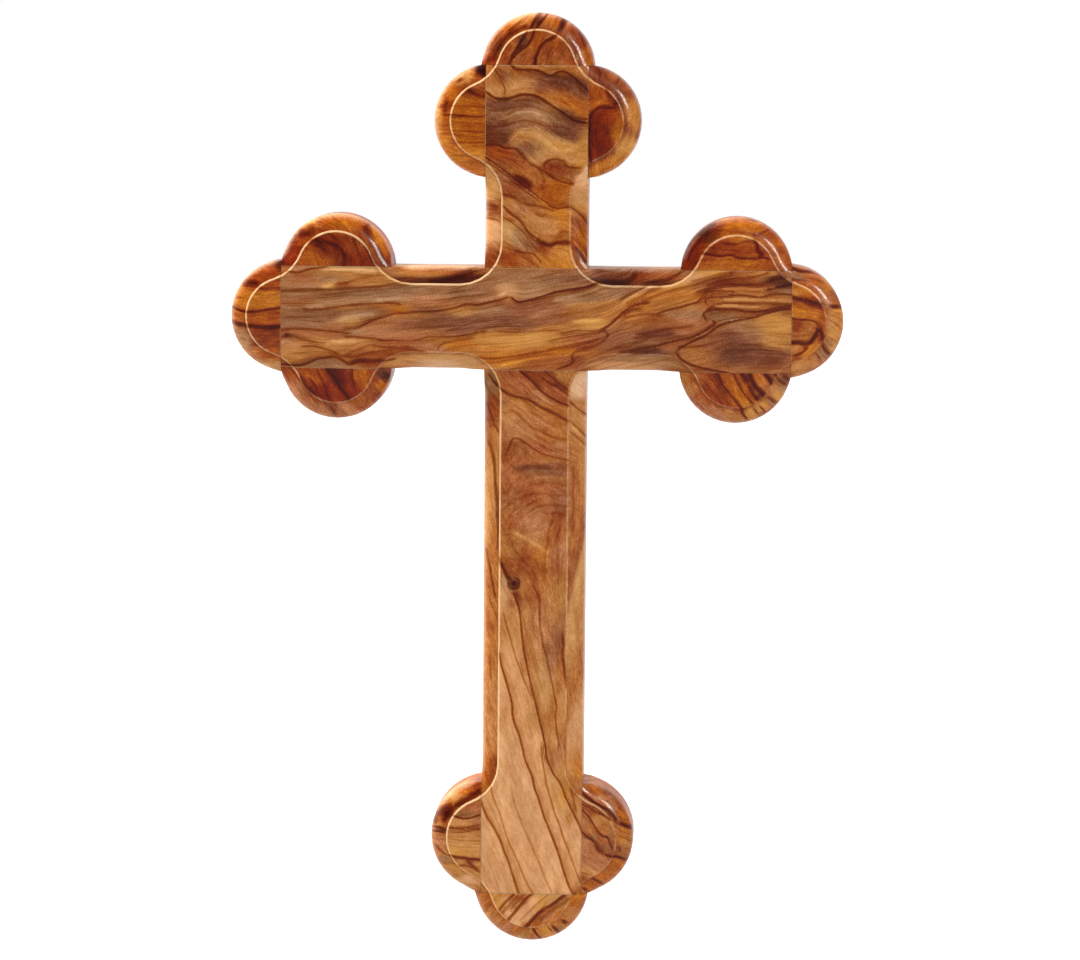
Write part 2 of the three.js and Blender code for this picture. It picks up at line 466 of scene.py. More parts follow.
    def _cut(self, bm: bmesh.types.BMesh, faces: list[bmesh.types.BMFace], axis: int,
             planes: list[float]) -> list[bmesh.types.BMFace]:
        """Cuts faces by the middle one of a row of planes, then each side by the planes there.

        Args:
            bm: The mesh.
            faces: The faces to cut.
            axis: 0, 1 or 2 for planes across x, y or z.
            planes: Where the planes stand along the axis, in metres and in order.

        Returns:
            The faces that the cuts leave.
        """
        if not planes or not faces:
            return faces
        half = len(planes) // 2
        at = planes[half]
        normal = Vector([float(i == axis) for i in range(3)])
        geom = list({e for f in faces for e in f.edges}) + list({v for f in faces for v in f.verts}) + faces
        got = bmesh.ops.bisect_plane(bm, geom=geom, dist=self.slack * MM, plane_co=normal * at,
                                     plane_no=normal)
        left, right = [], []
        for item in got["geom"]:
            if isinstance(item, bmesh.types.BMFace):
                (left if item.calc_center_median()[axis] < at else right).append(item)
        return self._cut(bm, left, axis, planes[:half]) + self._cut(bm, right, axis, planes[half + 1 :])

    def _set_normals(self, mesh: bpy.types.Mesh) -> None:
        """Puts the kept normals on the diced mesh.

        Args:
            mesh: The diced mesh, whose attribute of kept normals is removed.
        """
        kept = np.empty(len(mesh.loops) * 3, dtype=np.float32)
        mesh.attributes["lay"].data.foreach_get("vector", kept)
        kept = kept.reshape(-1, 3)
        size = np.linalg.norm(kept, axis=1, keepdims=True)
        size[size == 0] = 1
        mesh.polygons.foreach_set("use_smooth", [True] * len(mesh.polygons))
        mesh.normals_split_custom_set((kept / size).tolist())
        mesh.attributes.remove(mesh.attributes["lay"])
        mesh.update()


class GrainField:
    """The course of the grain over one piece's face.

    It holds a height that is level along each growth line and rises by about a millimetre a
    millimetre across them. Its level lines are the grain.
    """

    def __init__(self, figure: Figure, low: np.ndarray, high: np.ndarray) -> None:
        """Works out the grain between two corners of the face.

        Args:
            figure: The piece's figure, whose veins steer the grain.
            low: Lowest x and z in millimetres.
            high: Highest x and z in millimetres.
        """
        self.cell = GRAIN_CELL
        self.low = low - GRAIN_MARGIN * self.cell
        counts = np.ceil((high - low) / self.cell).astype(int) + 2 * GRAIN_MARGIN + 1
        angle = self._angles(figure, counts)
        across = np.stack([-np.sin(angle), np.cos(angle)])
        across = across * self._signs(across)
        self.height = self._solve(across)

    def _angles(self, figure: Figure, counts: np.ndarray) -> np.ndarray:
        """Turns the veins' headings into one heading a cell.

        Args:
            figure: The piece's figure.
            counts: The number of grid points along x and z.

        Returns:
            The grain's angle in each cell, in radians.
        """
        gx, gz = (self.low[i] + self.cell * (np.arange(counts[i] - 1) + 0.5) for i in (0, 1))
        fx, fz = np.meshgrid(gx, gz, indexing="ij")
        base = 2 * math.radians(figure.grain)
        cosine = np.full(fx.shape, GRAIN_BASE * math.cos(base))
        sine = np.full(fx.shape, GRAIN_BASE * math.sin(base))
        for vein in figure.veins:
            path = vein.points()[::2]
            if len(path) < 3:
                continue
            runs = path[1:] - path[:-1]
            turn = 2 * np.arctan2(runs[:, 1], runs[:, 0])
            for (mx, mz), double in zip((path[1:] + path[:-1]) / 2, turn):
                weight = 1 / ((fx - mx) ** 2 + (fz - mz) ** 2 + GRAIN_NEAR) ** 2
                cosine += weight * math.cos(double)
                sine += weight * math.sin(double)
        return np.arctan2(sine, cosine) / 2

    def _signs(self, across: np.ndarray) -> np.ndarray:
        """Makes neighbouring cells agree on which way is up, the best aligned ones first.

        Args:
            across: A unit vector across the grain in each cell.

        Returns:
            1 or -1 a cell.
        """
        wide, tall = across.shape[1:]
        signs = np.zeros((wide, tall))
        queue = [(0.0, wide // 2, tall // 2, 1.0)]
        while queue:
            _, i, j, sign = heapq.heappop(queue)
            if signs[i, j]:
                continue
            signs[i, j] = sign
            for p, q in ((i + 1, j), (i - 1, j), (i, j + 1), (i, j - 1)):
                if 0 <= p < wide and 0 <= q < tall and not signs[p, q]:
                    dot = float(across[:, i, j] @ across[:, p, q])
                    heapq.heappush(queue, (1 - abs(dot), p, q, sign if dot > 0 else -sign))
        return signs

    def _slopes(self, height: np.ndarray) -> np.ndarray:
        """Gives the slope along x and z in each cell, from the height at the grid points."""
        dx, dz = height[1:] - height[:-1], height[:, 1:] - height[:, :-1]
        return np.stack([dx[:, 1:] + dx[:, :-1], dz[1:] + dz[:-1]]) / (2 * self.cell)

    def _spread(self, slopes: np.ndarray) -> np.ndarray:
        """Shares slopes out to the grid points, as the adjoint of _slopes.

        Args:
            slopes: A slope along x and z in each cell.

        Returns:
            A value at each grid point.
        """
        out = np.zeros((slopes.shape[1] + 1, slopes.shape[2] + 1))
        for p, q in ((0, 0), (1, 0), (0, 1), (1, 1)):
            share = (2 * p - 1) * slopes[0] + (2 * q - 1) * slopes[1]
            out[p : p + slopes.shape[1], q : q + slopes.shape[2]] += share
        return out / (2 * self.cell)

    def _pull(self, height: np.ndarray, across: np.ndarray) -> np.ndarray:
        """Applies the least-squares system: level along the grain counts more than even spacing.

        Args:
            height: The height at each grid point.
            across: A unit vector across the grain in each cell.

        Returns:
            The system's left side at each grid point.
        """
        slopes = self._slopes(height)
        rise = (slopes * across).sum(axis=0) * across
        out = self._spread(rise + GRAIN_STIFFNESS * (slopes - rise))
        dx, dz = height[1:] - height[:-1], height[:, 1:] - height[:, :-1]
        out[1:] += GRAIN_EVENNESS * dx
        out[:-1] -= GRAIN_EVENNESS * dx
        out[:, 1:] += GRAIN_EVENNESS * dz
        out[:, :-1] -= GRAIN_EVENNESS * dz
        return out

    def _solve(self, across: np.ndarray) -> np.ndarray:
        """Finds the height by conjugate gradients.

        Args:
            across: A unit vector across the grain in each cell.

        Returns:
            The height at each grid point, in millimetres.
        """
        height = np.zeros((across.shape[1] + 1, across.shape[2] + 1))
        rest = self._spread(across)
        step, size = rest.copy(), float((rest**2).sum())
        for _ in range(GRAIN_ROUNDS):
            moved = self._pull(step, across)
            gain = size / max(float((step * moved).sum()), TINY)
            height += gain * step
            rest -= gain * moved
            now = float((rest**2).sum())
            if now < GRAIN_DONE:
                break
            step, size = rest + now / size * step, now
        return height

    def at(self, x: np.ndarray, z: np.ndarray) -> np.ndarray:
        """Reads the height.

        Args:
            x: First coordinates in millimetres.
            z: Second coordinates in millimetres.

        Returns:
            How far each place lies across the grain, in millimetres.
        """
        u = np.clip((x - self.low[0]) / self.cell, 0, self.height.shape[0] - 1.001)
        v = np.clip((z - self.low[1]) / self.cell, 0, self.height.shape[1] - 1.001)
        i, j = u.astype(int), v.astype(int)
        a, b = u - i, v - j
        near = self.height[i, j] * (1 - a) + self.height[i + 1, j] * a
        far = self.height[i, j + 1] * (1 - a) + self.height[i + 1, j + 1] * a
        return near * (1 - b) + far * b


@dataclass(frozen=True)
class EdgeWearAndHighlight:
    """The step's arris and the outline are made pale: the arris partly by handling, and both, most at
    the upper left, by painted highlight, as if lit from there.

    Facing is what a place turned up or to the left adds, and level the slope under which it is
    turned nowhere. The arris has a plain share, from handling and painted highlight, and one by its
    facing, which is painted highlight; the outline has only the latter. Each grows weaker towards the
    right, as the painted highlight does: the reach is two x in millimetres, and the paleness is what
    there is at each. The outline's band is where along y its paleness starts, is full, begins to end
    and ends.
    """

    facing: tuple[float, float] = (0.8, 0.6)
    level: float = 1e-3
    plain: float = 0.62
    turned: float = 0.38
    arris_slopes: tuple[float, float] = (0.1, 0.995)
    arris_depth: float = STEP_FOOT - 0.15
    arris_reach: tuple[float, float] = (5.0, 25.0)
    arris_handling_and_highlight: tuple[float, float] = (1.0, 0.55)
    band: tuple[float, float, float, float] = (-15.4, -12.5, ROUND_FOOT + 1.0, ROUND_FOOT + 5.0)
    outline_reach: tuple[float, float] = (0.0, 30.0)
    outline_highlight: tuple[float, float] = (0.75, 0.2)

    def on(self, mesh: bpy.types.Mesh, co: np.ndarray) -> np.ndarray:
        """Finds how pale a piece's edge is made, by handling and by painted highlight.

        Args:
            mesh: The piece's mesh.
            co: Vertex places in millimetres.

        Returns:
            How pale each vertex is made, from 0 to 1.
        """
        normal = np.empty(len(co) * 3, dtype=np.float32)
        mesh.vertices.foreach_get("normal", normal)
        side, front, up = normal.reshape(-1, 3).T * np.array([[1], [-1], [1]])
        # Painted highlight: a place turned to the upper left is made paler, as if lit from there.
        toward = (self.facing[0] * up - self.facing[1] * side) / np.hypot(side, up).clip(self.level)
        handling_and_highlight = self.plain + self.turned * toward
        handling_and_highlight *= np.interp(co[:, 0], self.arris_reach, self.arris_handling_and_highlight)
        least, most = self.arris_slopes
        inner = (co[:, 1] < self.arris_depth) & (front < most) & (front > least)
        outline = np.interp(co[:, 1], self.band, (0.0, 1.0, 1.0, 0.0))
        # The outline's paleness is all painted highlight, on the rims turned to the upper left.
        rim_highlight = outline * toward.clip(0, 1) * np.interp(co[:, 0], self.outline_reach, self.outline_highlight)
        return np.where(inner, handling_and_highlight, np.where(co[:, 1] > self.band[0], rim_highlight, 0.0))


@dataclass
class FigurePainter:
    """Writes a piece's figure on its vertices.

    The figure shrinks towards the centre down those walls that squeeze names, along x and z.
    """

    figure: Figure
    centre: tuple[float, float]
    squeeze: tuple[float, float]
    wear_and_highlight: EdgeWearAndHighlight = EdgeWearAndHighlight()

    def paint(self, piece: bpy.types.Object) -> None:
        """Adds the attributes of the figure to a piece's mesh.

        They are tone, contrast and grain for the ground, whose tone holds some painted light and shade on
        the edges; line, ink and halo for the veins; arris for the edge made pale by handling and by
        painted highlight; seam for the glue lines.

        Args:
            piece: The object to paint.
        """
        mesh = piece.data
        co = np.empty(len(mesh.vertices) * 3, dtype=np.float32)
        mesh.vertices.foreach_get("co", co)
        co = co.reshape(-1, 3).astype(float) / MM
        x, z, depth = self._unfold(co)
        face, edge = self._zones(co[:, 1], depth)
        tone = self._tone(x, z, face, edge)
        line, ink, halo = self._veins(x, z, face, edge, depth)
        course = GrainField(self.figure, np.array([x.min(), z.min()]), np.array([x.max(), z.max()]))
        shift = self.figure.seed * SEED_STEP
        # How pale the edge is made, by handling and by painted highlight; streaks and veins are weakened
        # there.
        edge_wear_and_highlight = self.wear_and_highlight.on(mesh, co)
        contrast = np.clip(STREAK_STRENGTH - STREAK_LOSS * tone[:, 1], *STREAK_LIMITS)
        values = {
            "tone": tone,
            "contrast": contrast * (1 - STREAKS_UNDER_PALE_EDGE * edge_wear_and_highlight),
            "grain": np.stack([course.at(x, z) + shift, x + shift, z], axis=1),
            "line": line,
            "ink": ink * (1 - VEINS_UNDER_PALE_EDGE * edge_wear_and_highlight),
            "halo": halo,
            "arris": edge_wear_and_highlight,
            "seam": self._seam(co[:, 0], co[:, 2]),
        }
        for name, value in values.items():
            kind, slot = ("FLOAT", "value") if value.ndim == 1 else ("FLOAT_VECTOR", "vector")
            attribute = mesh.attributes.new(name, kind, "POINT")
            attribute.data.foreach_set(slot, np.ascontiguousarray(value, dtype=np.float32).ravel())

    def _unfold(self, co: np.ndarray) -> tuple[np.ndarray, np.ndarray, np.ndarray]:
        """Carries the figure down the side walls and round to the back.

        Args:
            co: Vertex places in millimetres.

        Returns:
            The place on the face whose figure each vertex shows, and the depth below the round.
        """
        depth = np.clip(co[:, 1] - ROUND_FOOT, 0, None)
        shrink = 1 - WALL_SHRINK * depth
        x = self.centre[0] + (co[:, 0] - self.centre[0]) * (shrink if self.squeeze[0] else 1)
        z = self.centre[1] + (co[:, 2] - self.centre[1]) * (shrink if self.squeeze[1] else 1)
        return x, z, depth

    def _zones(self, y: np.ndarray, depth: np.ndarray) -> tuple[np.ndarray, np.ndarray]:
        """Shares the vertices out between the face and the routed edge.

        Args:
            y: Vertex places along y, in millimetres.
            depth: Depths below the round, in millimetres.

        Returns:
            How much each vertex belongs to the face and to the edge.
        """
        top = y < (STEP_FOOT - STEP_MARGIN)
        face = np.where(top, 1.0, np.clip(depth / WALL_BLEND, 0, 1))
        return face, 1 - face

    def _mask(self, zone: Zone, face: np.ndarray, edge: np.ndarray) -> np.ndarray:
        """Picks the weight of a zone.

        Args:
            zone: The zone.
            face: How much each vertex belongs to the face.
            edge: How much each vertex belongs to the routed edge.

        Returns:
            How much each vertex belongs to the zone.
        """
        return {Zone.FACE: face, Zone.EDGE: edge, Zone.BOTH: np.ones_like(face)}[zone]

    def _tone(self, x: np.ndarray, z: np.ndarray, face: np.ndarray, edge: np.ndarray) -> np.ndarray:
        """Blends the spots over the base tone.

        Args:
            x: First coordinates in millimetres.
            z: Second coordinates in millimetres.
            face: How much each vertex belongs to the face.
            edge: How much each vertex belongs to the routed edge.

        Returns:
            Linear colours, one row a vertex.
        """
        total = np.tile(np.array(linear(self.figure.base.value)), (len(x), 1)) * BASE_WEIGHT
        weight = np.full(len(x), BASE_WEIGHT)
        lean = math.radians(self.figure.lean)
        c, s = math.cos(lean), math.sin(lean)
        zones = [(*item, face) for item in self.figure.face.items()]
        zones += [(*item, edge) for item in self.figure.edge.items()]
        zones += [(*item, np.ones_like(face)) for item in self.figure.both.items()]
        for tone, spots, mask in zones:
            colour = np.array(linear(tone.value))
            for spot in spots.split("; "):
                px, pz, wide, high = (float(v) for v in spot.split())
                u = ((x - px) * c + (z - pz) * s) / (wide * SPOT_SOFTNESS)
                v = (-(x - px) * s + (z - pz) * c) / (high * SPOT_SOFTNESS)
                part = np.exp(-0.5 * (u * u + v * v)) * mask
                total += part[:, None] * colour
                weight += part
        return np.array(LACQUER_GAIN) * (total / weight[:, None]) ** np.array(LACQUER_POWER)

    def _veins(self, x: np.ndarray, z: np.ndarray, face: np.ndarray, edge: np.ndarray,
               depth: np.ndarray) -> tuple[np.ndarray, np.ndarray, np.ndarray]:
        """Measures the way to the nearest vein.

        Args:
            x: First coordinates in millimetres.
            z: Second coordinates in millimetres.
            face: How much each vertex belongs to the face.
            edge: How much each vertex belongs to the routed edge.
            depth: Depths below the round, in millimetres.

        Returns:
            The distance to the nearest vein with a sign for its side, the distance less the
            spacing of the vertices, and the vein's width; then its ink; then the dark that the soft
            sides of all the veins near add up to.
        """
        line = np.tile(np.array(FAR_FROM_VEINS), (len(x), 1))
        ink, halo, ratio = np.zeros(len(x)), np.zeros(len(x)), np.full(len(x), VEIN_WIDTHS)
        spacing = np.where(depth > BACK_DEPTH, BACK_SPACING, FRONT_SPACING)
        for vein in self.figure.veins:
            path = vein.points()
            reach = VEIN_SPAN * vein.width + (HALO_MARGIN if vein.fade else VEIN_MARGIN)
            mask = self._mask(vein.zone, face, edge)
            near = np.flatnonzero((x > path[:, 0].min() - reach) & (x < path[:, 0].max() + reach)
                                  & (z > path[:, 1].min() - reach) & (z < path[:, 1].max() + reach)
                                  & (mask > 0))
            if not len(near):
                continue
            dist, side, along, length = self._measure(path, x[near], z[near])
            to_end = np.minimum(along, length - along)
            taper = np.clip(to_end / TAPER_LENGTH + TAPER_TIP, 0, 1) * mask[near]
            if vein.fade:
                soft_side = side * vein.fade > 0
                halo[near] += np.exp(-dist / HALO_WIDTH) * HALO * vein.ink * soft_side * taper
            better = dist / vein.width < ratio[near]
            chosen = near[better]
            ratio[chosen] = dist[better] / vein.width
            line[chosen, 0] = dist[better] * side[better]
            line[chosen, 1] = dist[better] - spacing[chosen]
            line[chosen, 2] = vein.width
            ink[chosen] = vein.ink * taper[better]
        return line, ink, halo

    def _measure(self, path: np.ndarray, x: np.ndarray,
                 z: np.ndarray) -> tuple[np.ndarray, np.ndarray, np.ndarray, float]:
        """Measures places against a path.

        Args:
            path: The path's points.
            x: First coordinates in millimetres.
            z: Second coordinates in millimetres.

        Returns:
            Each place's distance, its side of the path as 1 or -1 and how far along the path it
            lies; then the path's length.
        """
        best = np.full(len(x), np.inf)
        along, side = np.zeros(len(x)), np.ones(len(x))
        lengths = np.hypot(*(path[1:] - path[:-1]).T)
        starts = np.concatenate([[0], np.cumsum(lengths)])
        for k, (a, b) in enumerate(zip(path[:-1], path[1:])):
            d = b - a
            t = np.clip(((x - a[0]) * d[0] + (z - a[1]) * d[1]) / max(float(d @ d), TINY), 0, 1)
            ex, ez = x - a[0] - t * d[0], z - a[1] - t * d[1]
            dist = ex * ex + ez * ez
            better = dist < best
            best = np.where(better, dist, best)
            along = np.where(better, starts[k] + t * lengths[k], along)
            side = np.where(better, np.where(d[0] * ez - d[1] * ex < 0, -1.0, 1.0), side)
        return np.sqrt(best), side, along, float(starts[-1])

    def _seam(self, x: np.ndarray, z: np.ndarray) -> np.ndarray:
        """Measures how far each vertex is from the nearest glue line.

        Args:
            x: First coordinates in millimetres.
            z: Second coordinates in millimetres.

        Returns:
            Distances in millimetres, up to SEAM_REACH.
        """
        best = np.full(len(x), SEAM_REACH)
        for (ax, az), (bx, bz) in glue_lines():
            dx, dz = bx - ax, bz - az
            t = np.clip(((x - ax) * dx + (z - az) * dz) / (dx * dx + dz * dz), 0, 1)
            best = np.minimum(best, np.hypot(x - ax - t * dx, z - az - t * dz))
        return best


@dataclass(frozen=True)
class Streak:
    """One scale of growth lines: their width and length in millimetres, and how strong they are.

    Detail is how many finer octaves the noise adds.
    """

    width: float
    length: float
    gain: float
    detail: float = 2.0


@dataclass(frozen=True)
class LacqueredOliveWood:
    """Olive wood, sanded and lacquered.

    The figure shows through a thin warm lacquer: satin over the fibres, with a clear gloss that
    catches lamps and windows along the routed edge. Spans are where a form begins and ends, a
    vein's core by its widths and a hairline by the level of its noise. The glue line has a half
    width in millimetres and a strength at its middle.
    """

    name: str
    glue: str = "#2a0f06"
    # The pale tone that the arris attribute mixes in, at the strength below: the edge made pale by handling
    # and by painted highlight.
    pale: str = "#ffd9a6"
    wear_and_highlight: float = 0.75
    ink: float = 1.15
    streaks: tuple[Streak, ...] = (Streak(0.33, 0.45, 1.2), Streak(0.6, 1.8, 0.8), Streak(1.3, 4.5, 0.9),
                                   Streak(2.8, 12.0, 0.8))
    hairline: Streak = Streak(0.6, 18.0, 0.25, 1.0)
    hairline_span: tuple[float, float] = (0.56, 0.72)
    fibre: Streak = Streak(0.16, 4.0, 1.0, 3.0)
    fibre_depth: float = 0.05
    fibre_bump: float = 0.12
    fibre_roughness: float = 0.14
    ragged: Streak = Streak(1.2, 2.2, 0.7, 3.0)
    core_span: tuple[float, float] = (0.4, 1.4)
    glue_line: tuple[float, float] = (0.34, 0.42)
    roughness: float = 0.4
    gloss: float = 0.07
    coat: float = 0.1
    coat_roughness: float = 0.09
    ior: float = 1.5

    def build(self) -> bpy.types.Material:
        """Makes the material.

        Returns:
            The material, with its nodes.
        """
        material = bpy.data.materials.new(self.name)
        material.use_nodes = True
        tree = material.node_tree
        tree.nodes.clear()
        fibre = self._noise(tree, self.fibre)
        dark = add_node(tree, "ShaderNodeMath", {"operation": "ADD"},
                        in0=self._streaked(tree), in1=self._veined(tree)).outputs[0]
        wood = self._tone_with_wear_and_highlight(tree)
        for bound, law in (("MAXIMUM", EXTRACTIVES), ("MINIMUM", PALE_WOOD)):
            part = add_node(tree, "ShaderNodeMath", {"operation": bound}, in0=dark, in1=0.0).outputs[0]
            passed = add_node(tree, "ShaderNodeVectorMath", {"operation": "POWER"},
                              in0=law, in1=part).outputs[0]
            wood = add_node(tree, "ShaderNodeVectorMath", {"operation": "MULTIPLY"},
                            in0=wood, in1=passed).outputs[0]
        width, strength = self.glue_line
        gap = add_node(tree, "ShaderNodeMapRange", {"interpolation_type": "SMOOTHSTEP"},
                       in0=self._read(tree, "seam", "Fac"), in1=0.0, in2=width, in3=strength, in4=0.0)
        glued = add_node(tree, "ShaderNodeMix", {"data_type": "RGBA"}, Factor_Float=gap.outputs[0],
                         A_Color=wood, B_Color=(*linear(self.glue), 1))
        rough = add_node(tree, "ShaderNodeMath", {"operation": "MULTIPLY_ADD"},
                         in0=fibre, in1=self.fibre_roughness,
                         in2=self.roughness - self.fibre_roughness / 2)
        bump = add_node(tree, "ShaderNodeBump", in0=self.fibre_bump, in1=self.fibre_depth * MM, in3=fibre)
        surface = add_node(tree, "ShaderNodeBsdfPrincipled")
        surface.inputs["IOR"].default_value = self.ior
        surface.inputs["Specular IOR Level"].default_value = self.gloss
        surface.inputs["Coat Weight"].default_value = self.coat
        surface.inputs["Coat Roughness"].default_value = self.coat_roughness
        tree.links.new(glued.outputs[2], surface.inputs["Base Color"])
        tree.links.new(rough.outputs[0], surface.inputs["Roughness"])
        tree.links.new(bump.outputs[0], surface.inputs["Normal"])
        add_node(tree, "ShaderNodeOutputMaterial", in0=surface.outputs[0])
        return material

    def _read(self, tree: bpy.types.NodeTree, name: str, output: str) -> bpy.types.NodeSocket:
        """Reads one of the painter's attributes.

        Args:
            tree: The material's nodes.
            name: The attribute's name.
            output: "Fac" for a number or "Vector" for three.

        Returns:
            The value.
        """
        return add_node(tree, "ShaderNodeAttribute", {"attribute_name": name}).outputs[output]

    def _noise(self, tree: bpy.types.NodeTree, streak: Streak) -> bpy.types.NodeSocket:
        """Makes noise that is drawn out along the grain.

        Args:
            tree: The material's nodes.
            streak: The width and length of its marks.

        Returns:
            A value about 0.5.
        """
        grain = self._read(tree, "grain", "Vector")
        scale = (1 / streak.width, 1 / streak.length, 1 / streak.length)
        place = add_node(tree, "ShaderNodeVectorMath", {"operation": "MULTIPLY"},
                         in0=grain, in1=scale).outputs[0]
        return add_node(tree, "ShaderNodeTexNoise", in0=place, in2=1.0, in3=streak.detail,
                        in4=0.5).outputs["Fac"]

    def _tone_with_wear_and_highlight(self, tree: bpy.types.NodeTree) -> bpy.types.NodeSocket:
        """Gives the wood's tone, paler along the arris and the rims, by handling and by painted highlight.

        Args:
            tree: The material's nodes.

        Returns:
            The tone.
        """
        edge_wear_and_highlight = add_node(tree, "ShaderNodeMath", {"operation": "MULTIPLY"},
                        in0=self._read(tree, "arris", "Fac"), in1=self.wear_and_highlight).outputs[0]
        return add_node(tree, "ShaderNodeMix", {"data_type": "VECTOR"}, Factor_Float=edge_wear_and_highlight,
                        A_Vector=self._read(tree, "tone", "Vector"), B_Vector=linear(self.pale)).outputs[1]

    def _streaked(self, tree: bpy.types.NodeTree) -> bpy.types.NodeSocket:
        """Adds up the streaks and the thin dark lines that follow the grain.

        Args:
            tree: The material's nodes.

        Returns:
            How much more of the dark extractives a place holds.
        """
        thin = self._noise(tree, self.hairline)
        start, full = self.hairline_span
        level = add_node(tree, "ShaderNodeMapRange", {"interpolation_type": "SMOOTHSTEP"},
                         in0=thin, in1=start, in2=full, in3=0.0, in4=self.hairline.gain).outputs[0]
        for streak in self.streaks:
            raw = add_node(tree, "ShaderNodeMath", {"operation": "SUBTRACT"},
                           in0=self._noise(tree, streak), in1=0.5).outputs[0]
            level = add_node(tree, "ShaderNodeMath", {"operation": "MULTIPLY_ADD"},
                             in0=raw, in1=streak.gain, in2=level).outputs[0]
        return add_node(tree, "ShaderNodeMath", {"operation": "MULTIPLY"},
                        in0=level, in1=self._read(tree, "contrast", "Fac")).outputs[0]

    def _veined(self, tree: bpy.types.NodeTree) -> bpy.types.NodeSocket:
        """Draws the veins.

        Args:
            tree: The material's nodes.

        Returns:
            How much more of the dark extractives a place holds; less than nothing in a pale vein.
        """
        ragged = self._noise(tree, self.ragged)
        line = add_node(tree, "ShaderNodeSeparateXYZ", in0=self._read(tree, "line", "Vector")).outputs
        away = add_node(tree, "ShaderNodeMath", {"operation": "ABSOLUTE"}, in0=line[0]).outputs[0]
        away = add_node(tree, "ShaderNodeMath", {"operation": "MAXIMUM"}, in0=away, in1=line[1]).outputs[0]
        away = add_node(tree, "ShaderNodeMath", {"operation": "DIVIDE"}, in0=away, in1=line[2]).outputs[0]
        away = add_node(tree, "ShaderNodeMath", {"operation": "MULTIPLY_ADD"},
                        in0=ragged, in1=self.ragged.gain, in2=away).outputs[0]
        full, end = self.core_span
        core = add_node(tree, "ShaderNodeMapRange", {"interpolation_type": "SMOOTHSTEP"},
                        in0=away, in1=full, in2=end, in3=self.ink, in4=0.0).outputs[0]
        return add_node(tree, "ShaderNodeMath", {"operation": "MULTIPLY_ADD"}, in0=core,
                        in1=self._read(tree, "ink", "Fac"), in2=self._read(tree, "halo", "Fac")).outputs[0]
